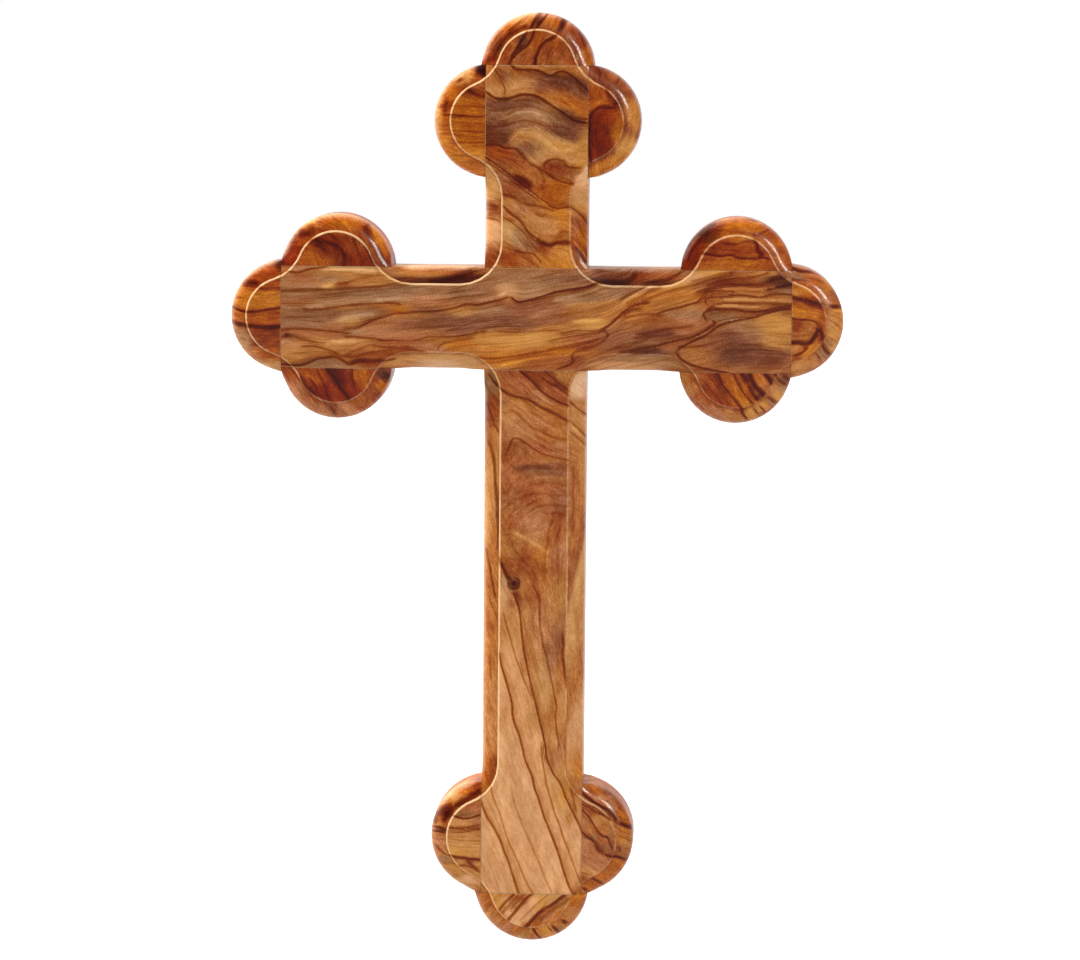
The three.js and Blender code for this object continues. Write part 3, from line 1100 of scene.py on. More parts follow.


# The veins and the soft spots of each piece. Their courses, places and tones were judged on
# enlargements of the photograph. A sketching program then turned the places on the picture into
# millimetres from the middle of the crossing and gave each spot the nearest of the named tones.
# Some spots and lines of the routed edges are painted highlight, painted reflection and painted shade; each
# such place is marked.
FIGURES: dict[str, Figure] = {}
FIGURES["crossbar"] = Figure(base=Tone.CHESTNUT, grain=0, lean=0, seed=3, face={
    Tone.CARAMEL: "-76.8 12.3 6.5 2; -35.9 6.6 4.6 1; -76.8 4.9 4.6 0.8; -64.3 -1.9 2.3 0.8; "
        "-76.8 -5.2 6.5 0.8; -66.9 -5.5 4.6 0.7; -50.5 -5.4 5.2 1; -42.4 -6 4.6 1; -81.7 -8.5 2 1.6; "
        "-37.4 -8.9 2.9 1; -34.2 -10.2 2.9 1; 48.4 -0.1 3.3 1; 50 -3.3 3.3 0.8",
    Tone.TOFFEE: "-80.1 12 2 1; -68.6 12.7 3.9 1.3; -76.8 9.7 6.5 0.7; -45.7 6.3 7.2 0.5; "
        "-55.5 5.6 5.2 0.7; -65.3 5.2 5.2 0.7; -72.9 4.2 4.6 0.6; -54.5 0.7 3.3 0.8; -1.2 9.4 3.9 1.6; "
        "-14.7 2.5 3.3 1; 11.2 6.5 3.9 1",
    Tone.HONEY: "-60.5 15.4 6.5 0.7; -60.4 -0.6 3.3 1.3",
    Tone.APRICOT: "-62.1 14 6.5 0.8; -55.5 11.4 5.2 1; -47.4 13.1 3.3 1.3; -40.1 0.8 4.6 0.7; "
        "-23.8 2.2 3.9 1; -69.5 -7.1 2.3 0.7; -62 -8.4 4.6 1; -66.9 -10.1 2.9 0.7; -55.4 -7.7 3.3 0.8; "
        "-80 -11.1 2.9 1; 73.8 15.1 2.6 1; 65.9 7.4 7.2 0.6",
    Tone.SAND: "-67 10.4 2.6 0.7; 17.7 -0.9 3.9 1.1; -14.6 -5.9 4.6 1.3; -6.5 -7.1 4.6 1.6; "
        "1.6 -5.8 3.9 1.6; 43.3 12.1 4.6 1; 56.1 15.7 3.3 1; 76.3 -1.3 3.9 2.3",
    Tone.MOCHA: "-62.1 10.9 2.6 0.7; -44 -11.2 4.6 1.6; -52.1 -12.2 4.6 1; 3.3 -14.2 4.6 1; 54.7 6.7 2 2",
    Tone.AMBER: "-78.4 6.8 5.2 1.3; -70.2 7.2 5.9 1.3; -32.7 9.2 4.6 1.6; -80.1 2.2 3.3 1.3; "
        "-76.8 -2.6 6.5 0.7; -58.7 -4.8 3.9 0.7; -18 9.6 3.9 2; -11.6 12.9 5.2 1.6; -3.5 13.5 4.6 1.6; "
        "9.5 11 4.6 0.7; 24.1 9.5 3.3 1.6; 33.7 11.1 2.9 1.3; 49.9 2.2 3.9 1.3; 69.3 -2.9 3.9 2; "
        "78.7 10 3.3 0.7",
    Tone.AUBURN: "-60.4 7.5 5.9 1.3; -49 8.2 5.9 1.3; -40.8 9.2 5.2 1.6; -24.6 9.6 3.9 2; -76.8 -1 4.6 1.6; "
        "-55.5 2.4 5.9 1; -68.5 -14.6 4.6 1; 4.6 12.6 3.9 1.3; 17.6 7.5 3.9 1; 27.3 10.4 3.3 1.6; "
        "61.2 1.9 3.9 1",
    Tone.UMBRIA: "-58.8 3 6.5 0.7; 14.5 2 4.6 1; 53.4 -10.4 3.3 2; 67.6 2.6 3.9 0.7",
    Tone.FAWN: "-47.3 3.7 3.9 0.8; -52.1 -9.6 3.9 1; -21.1 -10.5 2.6 1.3; -62 -13.3 2.6 0.7; "
        "24.1 2.4 2.3 1.3; 4.8 -3.2 3.9 0.7; 17.9 -11.2 2.6 1; 33.8 1.1 4.6 1.3; 67.4 14.4 4.6 0.8; "
        "65.9 9.9 6.5 0.7",
    Tone.DRAB: "-44.7 2.4 2 1; -24.4 -8.2 3.3 1.3; -11.3 -13 5.9 1.3; 8.1 -9.7 3.9 1",
    Tone.WALNUT: "-66.9 0.4 7.2 1.6; -31 -0.8 7.2 2; -80 -6.2 1.3 1; 12.7 13.3 4.6 1.3; -18 -0.7 3.3 2; "
        "-11.5 0.6 4.6 2; -4.9 -1.6 4.6 1.3; 34 -7.3 4.6 1",
    Tone.CHESTNUT: "-48.9 -0.9 4.6 1.3; -35.8 -4.4 6.5 0.8; -6.6 -3.3 4.6 0.7; 17.8 -5.1 2.9 0.7; "
        "41.9 -0.4 3.3 1; 30.7 -2.1 3.3 1.3; 44.3 -8.5 2.6 1; 54.6 11.5 2.6 1.3",
    Tone.RUSSET: "-24.4 -2 4.6 2; 38.8 -4.3 5.2 1; 64.5 -5.5 3.9 2; 72.7 -10.9 5.2 2",
    Tone.GINGER: "-40.8 -2.4 4.6 1.6; -3.4 2.6 3.9 1.6; 4.1 4.5 3.9 1.6; 4.8 0.7 4.6 1.3; 27.5 -6.3 4.6 2; "
        "58.1 -7.8 3.3 2",
    Tone.CAMEL: "-75.1 -8.5 3.3 0.8; 49.9 4.7 3.3 1; 65.9 5.1 6.5 0.6; 77.1 7.4 3.9 1",
    Tone.TAWNY: "-45.6 -8.6 3.9 1; 12.9 -6.4 3.3 0.7; 16.2 -7.7 2.6 0.8",
    Tone.OCHRE: "-30.9 -6.9 3.9 1; -73.5 -11.7 3.9 1; -65.2 -11.3 2.6 0.7; -78.4 -13.7 2.6 0.8; "
        "17.7 4.6 5.2 1; 25.7 5.6 2.6 1; 9.7 -2.2 4.6 1; 8.1 -7.1 3.3 1; 42.8 5.7 3.9 1; 78.3 -6.1 2.9 1.6; "
        "77.2 5.5 3.9 0.7",
    Tone.GARNET: "-53.1 -14.5 4.6 0.8",
    Tone.WHEAT: "-9 9.7 2.6 1.6; 49.7 14 4.6 1.6",
    Tone.GOLD: "-11.4 -9.8 5.9 1; 40.2 7.9 5.2 1.6; 33.8 5 3.9 1; 49.8 8.3 3.3 1.3",
    Tone.SIENNA: "-1.6 -11.6 4.6 1",
    Tone.COCOA: "13 -13.5 2.6 1.3; 61 12.8 4.6 1; 69 12.2 4.6 1; 66 3.7 5.2 0.5",
    Tone.PLUM: "37.2 -9.8 4.6 0.8; 64.6 -9.7 4.6 2.3; 75.4 13.8 2.6 1; 80.2 12.2 2 1.3",
}, edge={
    # On the routed edge these spots hold the wood's tone together with painted light: the dark ones along
    # the top border beside the step are partly painted shade, and the pale ones along the top rim and the
    # bottom border are partly painted highlight and reflection.
    Tone.MAROON: "-28.1 12.3 8.5 1; -23.2 13.9 4.6 1.3; 24.5 12.4 4.6 1",
    Tone.BISTRE: "-36.2 12.2 5.9 0.8; 38.4 12.5 4.6 0.8",
    Tone.MOCHA: "-29.7 14.8 7.2 0.8",
    Tone.OCHRE: "-36.2 14.2 5.2 0.8; -37.9 16.6 6.5 0.4",
    Tone.CARAMEL: "-28.1 16.6 9.8 0.3",
    Tone.TOFFEE: "-21.6 16.5 2.6 0.5; 38.8 -13.6 4.6 1",
    Tone.RUSSET: "27.7 14.7 3.9 0.8; 22.2 15.3 2.6 1.3",
    Tone.GARNET: "33.5 14.1 2.6 1.6",
    Tone.COCOA: "39.9 14.4 3.9 1.3",
    Tone.AMBER: "43.1 16.1 4.6 0.7; 33.9 -12.4 5.9 0.7",
    Tone.GINGER: "33.5 16.8 5.2 0.3",
    Tone.APRICOT: "-40.9 -14.4 5.2 1",
    Tone.CREAM: "-31.1 -14.7 6.5 1",
    Tone.HONEY: "-23 -14.6 3.3 1; -31.1 -12.7 6.5 0.7",
    Tone.CAMEL: "-11.5 -15.2 6.5 0.7",
    Tone.WHEAT: "29.1 -15 6.5 1",
}, veins=(
    Vein(0.62, 0.56, "-82.4,14.6 -81.1,14.9 -77.8,14.4 -75.8,14.6 -72.9,15.6 -68.6,16.3 "
        "-66.7,17.2", fade=-1),
    Vein(0.5, 0.59, "-85.3,8.4 -83.4,8.4 -78.4,8.7 -73.5,9.1 -67,9 -62.1,9.3 -53.9,10 -49,10.5 -44.1,11.5 "
        "-40.9,12.3", fade=-1),
    Vein(0.25, 0.49, "-64.7,10.7 -61.4,11.4 -57.8,12.4 -52.3,13.4 -45.8,14", fade=-1),
    Vein(0.2, 0.49, "-67,14.9 -60.5,14.6 -53.9,13.7 -49.7,14.2", fade=-1),
    Vein(0.5, 0.49, "-75.8,2.6 -71.9,2.4 -68.6,2.6 -63.7,3.5 -59.7,4.1 -55.5,4.5 -49,4.8 -44.7,4.7 "
        "-43.1,4", fade=-1),
    Vein(0.56, 0.56, "-62,-3.5 -57.7,-3.5 -56.1,-2.7 -53.8,-1.5 -51.2,-0.4 -48,0.6 -45.3,1.4 "
        "-43.1,1.9", fade=1),
    Vein(0.6, 0.52, "-85.3,-4.3 -83.3,-4.3 -80.1,-3.9 -75.1,-3.9 -70.9,-4.2 -66.9,-4.5 -63,-4.8 "
        "-59.7,-5.1", fade=-1),
    Vein(0.55, 0.59, "-62,-6.1 -57.7,-6.3 -54.5,-6.6 -51.2,-6.9 -48.9,-7.4 -45.6,-7.3 -40.7,-7.3 -38.1,-7 "
        "-34.8,-6.1 -30.9,-5.9 -26,-5.8 -22.8,-5.3 -21.2,-5.1 -18.6,-4.3 -15.6,-3.8", fade=-1),
    Vein(0.3, 0.52, "-17.9,-4.3 -11.4,-3.9 -4.9,-4.2 3.2,-3.5 8,-3.2", fade=-1),
    Vein(0.35, 0.49, "-77.1,-7.2 -73.8,-7.8 -70.5,-8.4"),
    Vein(0.5, 0.52, "-75.8,-9.6 -72.8,-9.4 -70.2,-9.7 -67.6,-10.4 -65.2,-11.2 -63.6,-11.7", fade=-1),
    Vein(0.67, 0.61, "-85.3,-15.4 -83.3,-15.4 -79.4,-15.7 -76.1,-15.6 -73.4,-14.8 -70.8,-13.7 -68.2,-13.2 "
        "-64.9,-12.8 -62.9,-13.6 -61,-14.9 -59.7,-15.5", Zone.BOTH, 1),
    Vein(0.9, 0.56, "-60.3,-15.5 -58.3,-14.7 -56.4,-14.2 -53.8,-14.4 -50.5,-14 -47.2,-13.7 "
        "-44.9,-13.2", Zone.BOTH),
    Vein(0.7, 0.52, "-59.7,-14.1 -57.7,-13.7 -55.4,-13.4 -53.1,-13.6 -48.9,-13.4", Zone.BOTH),
    Vein(0.4, 0.52, "-53.1,-8.8 -48.9,-9.3 -45.6,-9.6 -42.3,-9.8 -39.1,-10.2 -36.1,-10.9", fade=-1),
    Vein(0.5, 0.56, "-22.1,-12.1 -14.6,-12.7 -9.7,-12.3 -4.8,-11.5 0,-10.7 4.9,-9.8 9.7,-8.8 14.6,-8 "
        "19.4,-6.7", fade=-1),
    Vein(0.4, 0.52, "3.3,-9.7 8.1,-8.7 12,-7.9 16.2,-7 21,-6", fade=-1),
    Vein(0.6, 0.59, "6.9,-16.1 9.8,-15.1 11.7,-14.2 12.4,-12.9 12,-11.6 12.7,-10.3 14.6,-9.3 17.8,-8.6 "
        "21,-7.3 23,-5.7 23.6,-4.6 22.3,-3.4 20.3,-3.1", Zone.BOTH),
    Vein(1.04, 0.69, "20.4,-4.1 22,-2.8 24.2,-1.2 26.4,0.8 28.3,2.6 30.6,4.3 33.1,5.3 37,6"),
    Vein(0.73, 0.5, "28,1.4 29.9,3 31.9,3.7 34.5,3.9"),
    Vein(0.5, 0.52, "8.1,-4.5 12.9,-3.5 17.8,-3.5 21,-3.1"),
    Vein(0.4, 0.52, "4.2,-7.1 8.1,-6.1 12.9,-5.1 17.8,-4.4 21,-3.8"),
    Vein(0.67, 0.5, "37.1,1.5 39.3,2.4 42.8,3.7 46.7,4.7 49.9,5.7 52.1,6.3 53.4,8 55,9.3 56.9,9.7 59.4,9.9 "
        "64.3,9.9", fade=-1),
    Vein(0.73, 0.5, "55,5.7 54.7,7 55.9,7.8 59.5,8 63.3,8.5 66.5,8.7 69.7,8.3 72.3,8 75.5,8.8 78.7,9.2 "
        "83.8,8.9", fade=-1),
    Vein(0.55, 0.69, "54.7,3.1 56.6,4.9 58.9,5.7 61.1,6.1 65.9,6.1 69.8,6.1 73.9,6.3 77.1,6.1 "
        "83.9,5.8", fade=-1),
    Vein(0.73, 0.5, "55.1,0.3 54.3,1.5 54.3,2.7 55.4,3.6 57,4 60.2,4.3 64.4,4.2 67.6,3.5 71.4,3.4 74.6,4 "
        "77.2,4.7 83.9,5.5", fade=-1),
    Vein(0.92, 0.56, "45.6,-9.8 46.3,-11.1 47.9,-12.7 50.2,-13.8 52.5,-14.6 55.4,-15.2 58.6,-15.8 "
        "61.5,-16.3 64.1,-16.8", Zone.BOTH, -1),
    Vein(0.3, 0.49, "30.8,-7.6 37.2,-5.9"),
    Vein(0.55, 0.69, "54.6,11.5 59.4,13.1 64.2,14.1 67.4,14.1 71.2,14.8 75.3,16.1", fade=-1),
    Vein(0.49, 0.56, "51.4,8.9 53,9.9 56.9,11 61,12.2 65.8,12 70.6,12.2 75.4,12.7 83.7,13.8", fade=-1),
    Vein(0.98, 1.11, "74.8,13.5 78.6,14.5 83.7,15.4"),
    Vein(0.85, 0.83, "73.9,10.3 78,11.3 83.7,12.6"),
    Vein(0.92, 1.39, "77.9,15.7 80.5,16.4 83.6,17"),
    Vein(0.43, 0.56, "33.8,6.3 38.6,8.2 42.7,9.7 46.6,10.8 51.4,12 56.2,13.7 61,15.2 64.1,15.9", fade=-1),
    Vein(0.37, 0.56, "28.9,5.6 33.8,7.6 36.9,9.7 40.8,11.1", fade=-1),
    Vein(0.37, 0.56, "49.8,12.8 54.6,14.1 59.3,15.4 64.1,16.3", fade=-1),
    Vein(0.7, 0.56, "-44.7,1.6 -41.4,1.8 -37.5,2.1 -34.3,2.3 -31,2.6 -27.7,3.2 -25.2,3.8 -22.9,4.6 "
        "-20.9,4.8 -18.7,4.6 -15.4,5.3 -11.5,6.3 -8.3,7.4", fade=-1),
    Vein(1.01, 0.56, "-8.3,7.3 -7.3,6.8 -6.3,6 -5,5.6 -3.1,6 -0.2,6.8 3.1,7.8 6.3,8.9 9.5,9.6 12.7,10.1 "
        "16,10.7 18.2,11.4 21.1,12.7", fade=-1),
    Vein(-0.3, 0.72, "-18.7,5.9 -15.4,6.6 -12.2,7.5 -9.3,8.7"),
    Vein(-0.2, 0.98, "5.7,6.2 9.5,7 13.7,8 17.6,9.4 20.8,11.2"),
    Vein(-0.25, 0.98, "-51.9,5.3 -48,6.1 -44.1,6.3 -40.2,6"),
    Vein(-0.3, 0.98, "-74.8,3.4 -71.9,3.6 -68.3,3.8"),
    Vein(-0.2, 1.18, "-64.3,-1.3 -61.7,-0.3 -58.7,0.2 -55.5,0.9 -51.9,1.4"),
    Vein(-0.25, 0.78, "-69.6,15.4 -63.7,15.4 -57.2,15.5 -51.3,15.2"),
    Vein(-0.2, 1.14, "-69.6,9.9 -67,10.4 -64.4,11.7"),
    Vein(0.45, 0.67, "-65,10.4 -62.7,10.9 -60.4,11.2"),
    Vein(0.45, 0.59, "-31.6,-10.2 -30.6,-8.7 -28.6,-7.7 -25.7,-7.1 -22.5,-6.6 -19.2,-5.9"),
    Vein(0.5, 0.52, "-42.3,-9.1 -40,-9.6 -37.4,-10.5 -35.1,-11"),
    Vein(0.35, 0.52, "-62,-12.3 -59.7,-11.3 -57.1,-10.3 -54.4,-9 -51.2,-8.7", fade=-1),
    Vein(0.34, 0.56, "-66.9,-12.3 -62,-12.5 -58.4,-12.8 -55.1,-11.6 -50.5,-10.8 -45.6,-10.3", fade=-1),
    Vein(-0.25, 1.11, "-68.2,-8.8 -65.3,-7.9 -61.7,-7.7 -57.7,-7.2"),
    Vein(0.84, 1.11, "-81.4,-6.5 -80.4,-5.9 -79.4,-6"),
    Vein(0.35, 0.52, "-77.7,-6.5 -75.8,-7.3 -72.8,-7.6 -70.5,-8.3"),
    Vein(-0.25, 0.52, "-11.3,-15.1 -6.4,-13.9 -1.6,-12.8 3.3,-12.1 8.1,-11.6 12.7,-10.4"),
    Vein(0.34, 0.56, "16.3,-12.8 19.5,-11.7 22.1,-10.2"),
    Vein(0.4, 0.49, "8.8,-11.3 13,-10.3 17.2,-9.3 19.8,-8.6"),
    Vein(-0.2, 0.98, "11.9,-0.9 15.1,-0.4 19,-0.2 22.2,0.4"),
    Vein(-0.35, 0.59, "28,5.9 31.8,8.2 35.6,10.3 39.5,12.4 43,14.2 46.5,15.8"),
    Vein(0.49, 0.49, "27,6.4 30.5,8.7 34.4,10.6 38.2,12.6 41.4,14.2"),
    Vein(0.37, 0.67, "28,0.8 32.2,1.8 37.1,2.3 40.9,1.5"),
    Vein(0.55, 0.67, "32.6,-4.5 35.5,-4 39.4,-3.2 43.6,-2.4 47.4,-2 51.3,-1.2"),
    Vein(0.37, 0.83, "31.4,-5.7 36.5,-5 41,-4.5 44.9,-3.7"),
    Vein(0.79, 0.49, "26.9,-10.4 30.1,-9.7 34,-9 37.9,-8.3 42,-7.2 46.9,-5.9 51.3,-5.1", fade=1),
    Vein(0.92, 0.53, "50.1,-5.2 52.3,-4.3 54.5,-3.1 56.4,-1.8 57.9,-0.9 57.7,0.1 56.9,0.4", fade=1),
    Vein(0.92, 0.49, "45.9,-9.8 46.9,-8.6 49.1,-7.3 52,-5.9 54.6,-4.6 56.8,-3.1 58.7,-1.6 60.9,-0.6 "
        "63.8,0.1 66.7,0.8 69.9,1.4 73,2.4 75.6,3.2 78.8,4 82.6,4.5", fade=1),
    Vein(-0.3, 0.52, "50.1,-6 53.3,-4.5 55.8,-3.1 58.3,-1 60.9,0.1 64.1,0.8 67.6,1.4"),
    Vein(-0.2, 0.65, "55.1,1.7 57,3.2 60.2,3.7"),
    Vein(0.3, 0.49, "65.5,-7.7 70,-7.2 75.2,-8 79.7,-8.5"),
    Vein(0.37, 1.39, "30.1,-10.5 35.6,-9.8 40.5,-9.2"),
    Vein(-0.3, 0.65, "60.5,7.2 65.9,7.4 71.4,7.2 77.1,7.3"),
    Vein(-0.3, 0.65, "60.1,10.9 65.2,10.9 70.6,10.6 77,11.3"),
    Vein(-0.25, 0.65, "58.2,5.1 62.7,5.3 67.6,5 72.4,5"),
    Vein(0.75, 1.63, "-34.6,11.6 -29.7,12.4 -24.8,13.6 -20,15.5", Zone.EDGE),
    Vein(0.7, 1.31, "21.9,12.4 25.1,11.8 28.7,11.8 31.2,13.8 32.2,15.4", Zone.EDGE),
    Vein(0.5, 0.65, "33.5,12.2 38.4,12.5 43.2,13.5 47,15.7", Zone.EDGE),
))
FIGURES["upright"] = Figure(base=Tone.FAWN, grain=-70, lean=-12, seed=7, face={
    Tone.FAWN: "-13.9 77.6 2.9 2.3; -7.1 78.8 2.6 1.6; 4.6 71.2 2.6 1.6; 11.9 79.7 3.3 1.3; "
        "-2.6 81.3 3.9 1; 1 45.7 2.3 2; 10.1 39.3 1.6 2.3; 7 26.4 2.9 1.3; -10.1 23.8 2 1.6; "
        "1.3 20.6 2.6 1.3; 5.2 -34 5.2 2.6; 7.2 -36.6 2.9 1.6; 4.1 -83.1 1.6 3.9; -2.7 -85.8 2 2.9",
    Tone.CAMEL: "-14.1 73.7 2.9 2; -8.3 73.4 3.9 1.3; -6.2 57.8 2 1.3; -1.3 51.4 1.3 1.3; "
        "-0.5 33.2 3.3 1.6; 1.2 28.7 2.9 1.6; -6.2 -33.1 4.6 3.3; 1.4 -71.9 2 2; 0.1 -106.2 2 9.8; "
        "5.1 -141.6 1.3 3.3",
    Tone.RUSSET: "-10 77.9 2.3 1.6; 13.5 73.1 2.9 2; 2.3 74.7 3.9 1.3; -13.1 68.6 2.9 1.3; "
        "-1.2 69.3 2.9 1.6; -12.1 62.3 3.3 1; 12.7 60.7 2.3 2.6; -2.2 -48.7 2.9 1.3",
    Tone.APRICOT: "-5.1 75.6 3.9 1.6; -2.4 59.1 3.9 1.6; 11.2 53 2.9 2.3; -7.9 36.7 2.6 1.3; "
        "3.8 31.2 3.6 2; -4.9 -70.7 2.3 1.3; 9.6 -130.9 1.6 7.8; -5.5 -99.6 2.6 6.5; 10.8 -144.8 1 3.9; "
        "12.9 -161.5 1 3.3",
    Tone.CHESTNUT: "-2.6 77.5 3.3 1.3; -12 50.1 2 1; 12.3 46.9 2.9 1.3; -3.8 39.2 2.9 1.6; "
        "-4.5 -41.6 2.6 2.3; 2.1 -51.3 4.6 1.3; -7.6 -58.6 2.3 2.9; 2.2 -62.4 2.9 1.6; -11.2 -26 2 2",
    Tone.WALNUT: "2.2 77.2 2.6 1.3; -5.7 68.9 2.9 1.6; -13.1 66.1 2.9 1.3; -5.6 62.3 2.9 1; "
        "-4.6 55.2 1.6 2; 3.7 -48.7 3.3 1.3",
    Tone.PLUM: "8.7 76.2 4.6 2; -9.9 68.6 2.6 1.6; 9.1 65.4 2.9 1.6; -10.8 59.7 2.6 2.6; 7.9 60.7 3.6 2.3; "
        "-6.3 -86 2.3 2.3",
    Tone.COCOA: "5.8 73.4 4.6 1.3; -6.2 51.4 2.9 1.6; 7.4 47.9 2.6 1.6; -11.9 42.8 2.3 2.3; -8 41.2 2.6 2; "
        "-2.7 -56.9 2.6 2; 7.5 -65 2.6 2.3; -4.1 -80.2 2.3 2.3; -5 -90.7 2.3 2.9",
    Tone.SIENNA: "8.8 70.8 4.6 1.6; 13.6 68.3 3.3 2; 9.6 30.6 2 2",
    Tone.OCHRE: "3.2 80.1 5.2 1; 15.3 57.8 1.6 3.9; 9.9 -18.7 2.6 1.6; 7.5 -91.2 2.9 7.2",
    Tone.TOFFEE: "2.7 67.3 3.3 2; -1.8 65.1 4.6 1.3; -5.9 26.4 2 2.3",
    Tone.AUBURN: "5.9 64.5 2.9 1.6; -1 54.6 2.3 2.3",
    Tone.AMBER: "-7.3 65.1 3.9 1; -2 23.8 2.3 1.6",
    Tone.BISTRE: "-14.6 59.4 2.9 2.9",
    Tone.GINGER: "0.8 62.6 3.9 1; -10.3 45 2.9 1.3; 8.6 -48.6 2.6 1.3; 8.7 -58.4 2.6 2.9; "
        "6.7 -106.1 1.6 8.5",
    Tone.HONEY: "3.4 57.8 3.9 1.6; 2.9 53 2.6 2.3; -9.2 28.3 2 2.6; 2.9 -121 2 7.2; 7.2 -151.6 1.6 3.9; "
        "-5.3 -185.3 1.3 3.3",
    Tone.SAND: "7.3 55.9 3.9 1.3; 14.8 52.7 1.6 3.3; 9.9 -157.5 1.3 3.3",
    Tone.RUST: "-13.6 54 3.3 1.3; -10 52.4 3.3 1.6; -8.4 20.3 2.9 2",
    Tone.MOCHA: "-2.2 47.6 2.9 1.6; -8.6 33.1 1.6 1.3; -3.6 19.7 2.9 1.3; -9.4 -42.3 1.6 2.6; "
        "6.6 -69.9 2 3.9; -7.5 -65.1 1.3 3.3; -1.9 -75.6 2.3 2.6; 0.2 -82.8 2 2.9; -6.7 -82.2 1.6 2.3; "
        "1.2 -88.7 2 3.9",
    Tone.OXBLOOD: "4.5 49.2 2.3 2; 2.2 22.9 2.6 1.1",
    Tone.UMBER: "-4.8 44 2.6 1.3",
    Tone.COPPER: "4.3 41.8 3.3 2",
    Tone.HAZEL: "8.1 42.5 2.9 1.6; 6.2 39.3 3.3 2",
    Tone.CARAMEL: "-4.7 35.4 2.9 1.6; 0.2 -24.3 3.9 1.3; -9.5 -35.7 2 3.9; -4.6 -35 2.9 2.3; "
        "1.9 -33.7 3.9 1.6; 7.9 -42.1 2.6 1.6; -3.3 -63.4 2.6 2.3; 2.3 -67 2.6 2.6; -1.6 -67.7 2.6 2; "
        "8 -78.1 2.3 4.6; 2.7 -97.9 2.6 6.5; 8.4 -142.2 1.3 3.9",
    Tone.DRAB: "7.6 33.5 2.6 1.6; 6.2 18.7 4.6 1.3",
    Tone.GOLD: "7.7 21.3 3.6 2.6; 2.4 -76.8 1.6 2.6",
    Tone.TAWNY: "-4.7 -21.1 3.9 1.6; 6.7 -24.2 3.9 1.3; 2 -41.2 3.9 1.6; -3.8 -45.8 3.9 1.1; "
        "-9.3 -52.1 2 3.9; -4.4 -52.7 3.3 1.6; 3.8 -55.2 4.6 1.6; 2.2 -59.1 3.3 1.3",
    Tone.GARNET: "1.7 -18.8 7.2 2.3",
    Tone.UMBRIA: "-6.1 -74.3 2 2.6",
    Tone.WHEAT: "-8.9 -88.8 1.6 3.9; -6.7 -141.1 1.3 5.9; -5.3 -148.4 1.3 5.2; 13.7 -168.2 1.3 4.6; "
        "0.7 -185.8 1.6 3.3; -5.6 -157.8 1.3 5.9; -2.8 -166.1 1.3 5.9; 0.2 -173.8 1.3 5.9; "
        "3.3 -181.7 1.3 5.9; -1.9 -157.7 1.6 6.5; 1.1 -166 1.6 6.5; 9.4 -165.9 1 4.6; -7.3 -180.6 1.3 4.6; "
        "-15 -171.4 1.6 5.2; -13.6 -178.7 2 5.2; -10.2 -185.4 2.6 3.3; -7.2 -188 1.6 1.6",
    Tone.STRAW: "-8 -114.6 2 8.5; -3.6 -124.5 2 7.8; -10 -139.5 1.3 4.6; -11 -146.2 1.6 3.9; "
        "-3.4 -141.1 1.3 5.2; -1.4 -149.4 1.3 5.2; -0.1 -141.7 1.6 4.6; 2.3 -149.3 1.3 5.2; "
        "14.8 -176.8 1.3 6.5; -14.5 -157.9 1.3 3.9; -11.8 -161.9 1.3 5.2; -9.2 -157.9 1.6 5.9; "
        "-7.1 -165.2 1.6 5.9; -4.4 -173.2 1.6 5.9; -1.4 -180.5 1.6 5.9; 4.2 -173.7 1.6 6.5; "
        "7.2 -181.7 1.6 6.5; 4.3 -157.6 1.3 5.9; 7.1 -165.9 1.3 5.9; 9.8 -173.6 1.3 5.9; "
        "12.5 -181.6 1.3 5.9; -13.1 -168.6 1.3 3.3; -10.4 -174.6 1.3 4.6",
    Tone.MAROON: "-6.7 -86 1.2 1.2",
}, edge={
    Tone.STRAW: "-13.9 27.1 2.3 3.6; 14.4 44.8 2.3 2.6",
    Tone.HONEY: "-14.1 42.3 2.3 3.9; 14.4 39.7 2.3 2.6; 14.5 -91.5 2.3 13.1",
    Tone.APRICOT: "-14.1 47.4 2 2; -15.3 -59 2 13.1; 14.7 -32.6 2.3 3.3",
    # The long spot at 11.5 -88.3, beside the step on the right, is painted shade of the step.
    Tone.COCOA: "-14 36.2 2.6 2; 11.5 -88.3 1 13.1",
    Tone.GARNET: "-14.5 20.4 2.6 2.6; 15.3 20.5 2 2; -14.7 -29.5 2 3.3; -13.2 -147.7 1.6 2.6",
    Tone.MOCHA: "-13.9 23.6 2.3 1.3; 13.9 31.4 1.6 2.6",
    Tone.SAND: "14.8 35.2 2.3 1.6; 16.2 -48.9 2.3 6.5",
    Tone.HAZEL: "15.6 26.3 1.6 3.3",
    Tone.RUST: "13.3 24.6 1.6 2",
    Tone.CREAM: "16.9 48.1 1.3 3.3; 14.6 -21.2 2.3 2.6",
    Tone.AUBURN: "-14.7 -21.4 2 2.3",
    Tone.CAMEL: "-14 -131.7 2 13.1",
    Tone.SIENNA: "-15.2 -147.7 2 3.3",
    Tone.TAWNY: "14 -52.2 2 6.5",
    Tone.WHEAT: "15.1 -136.2 2.3 8.2",
    Tone.DRAB: "15.2 -144.6 2 3.9",
    Tone.FAWN: "-14.3 -98.5 2 13.1; 16.4 -88.2 1 8.5",
}, veins=(
    Vein(0.85, 0.65, "-9.4,83.3 -8.1,81.4 -6.5,80.2 -3.9,80.1 -1.3,80.1 0.9,79.6 2.9,78.6 4.8,78.3 6.4,79.3 "
        "8,79.7 9.9,79.1 11.9,77.8 13.5,76.2 15.4,74.6 16.8,73.1", Zone.BOTH, -1),
    Vein(0.9, 0.69, "-17,73.4 -15.7,72.5 -14.1,71.3 -12.5,70.8 -10.6,70.7 -8.9,70.9 -7,71.5 -5.1,72.1 "
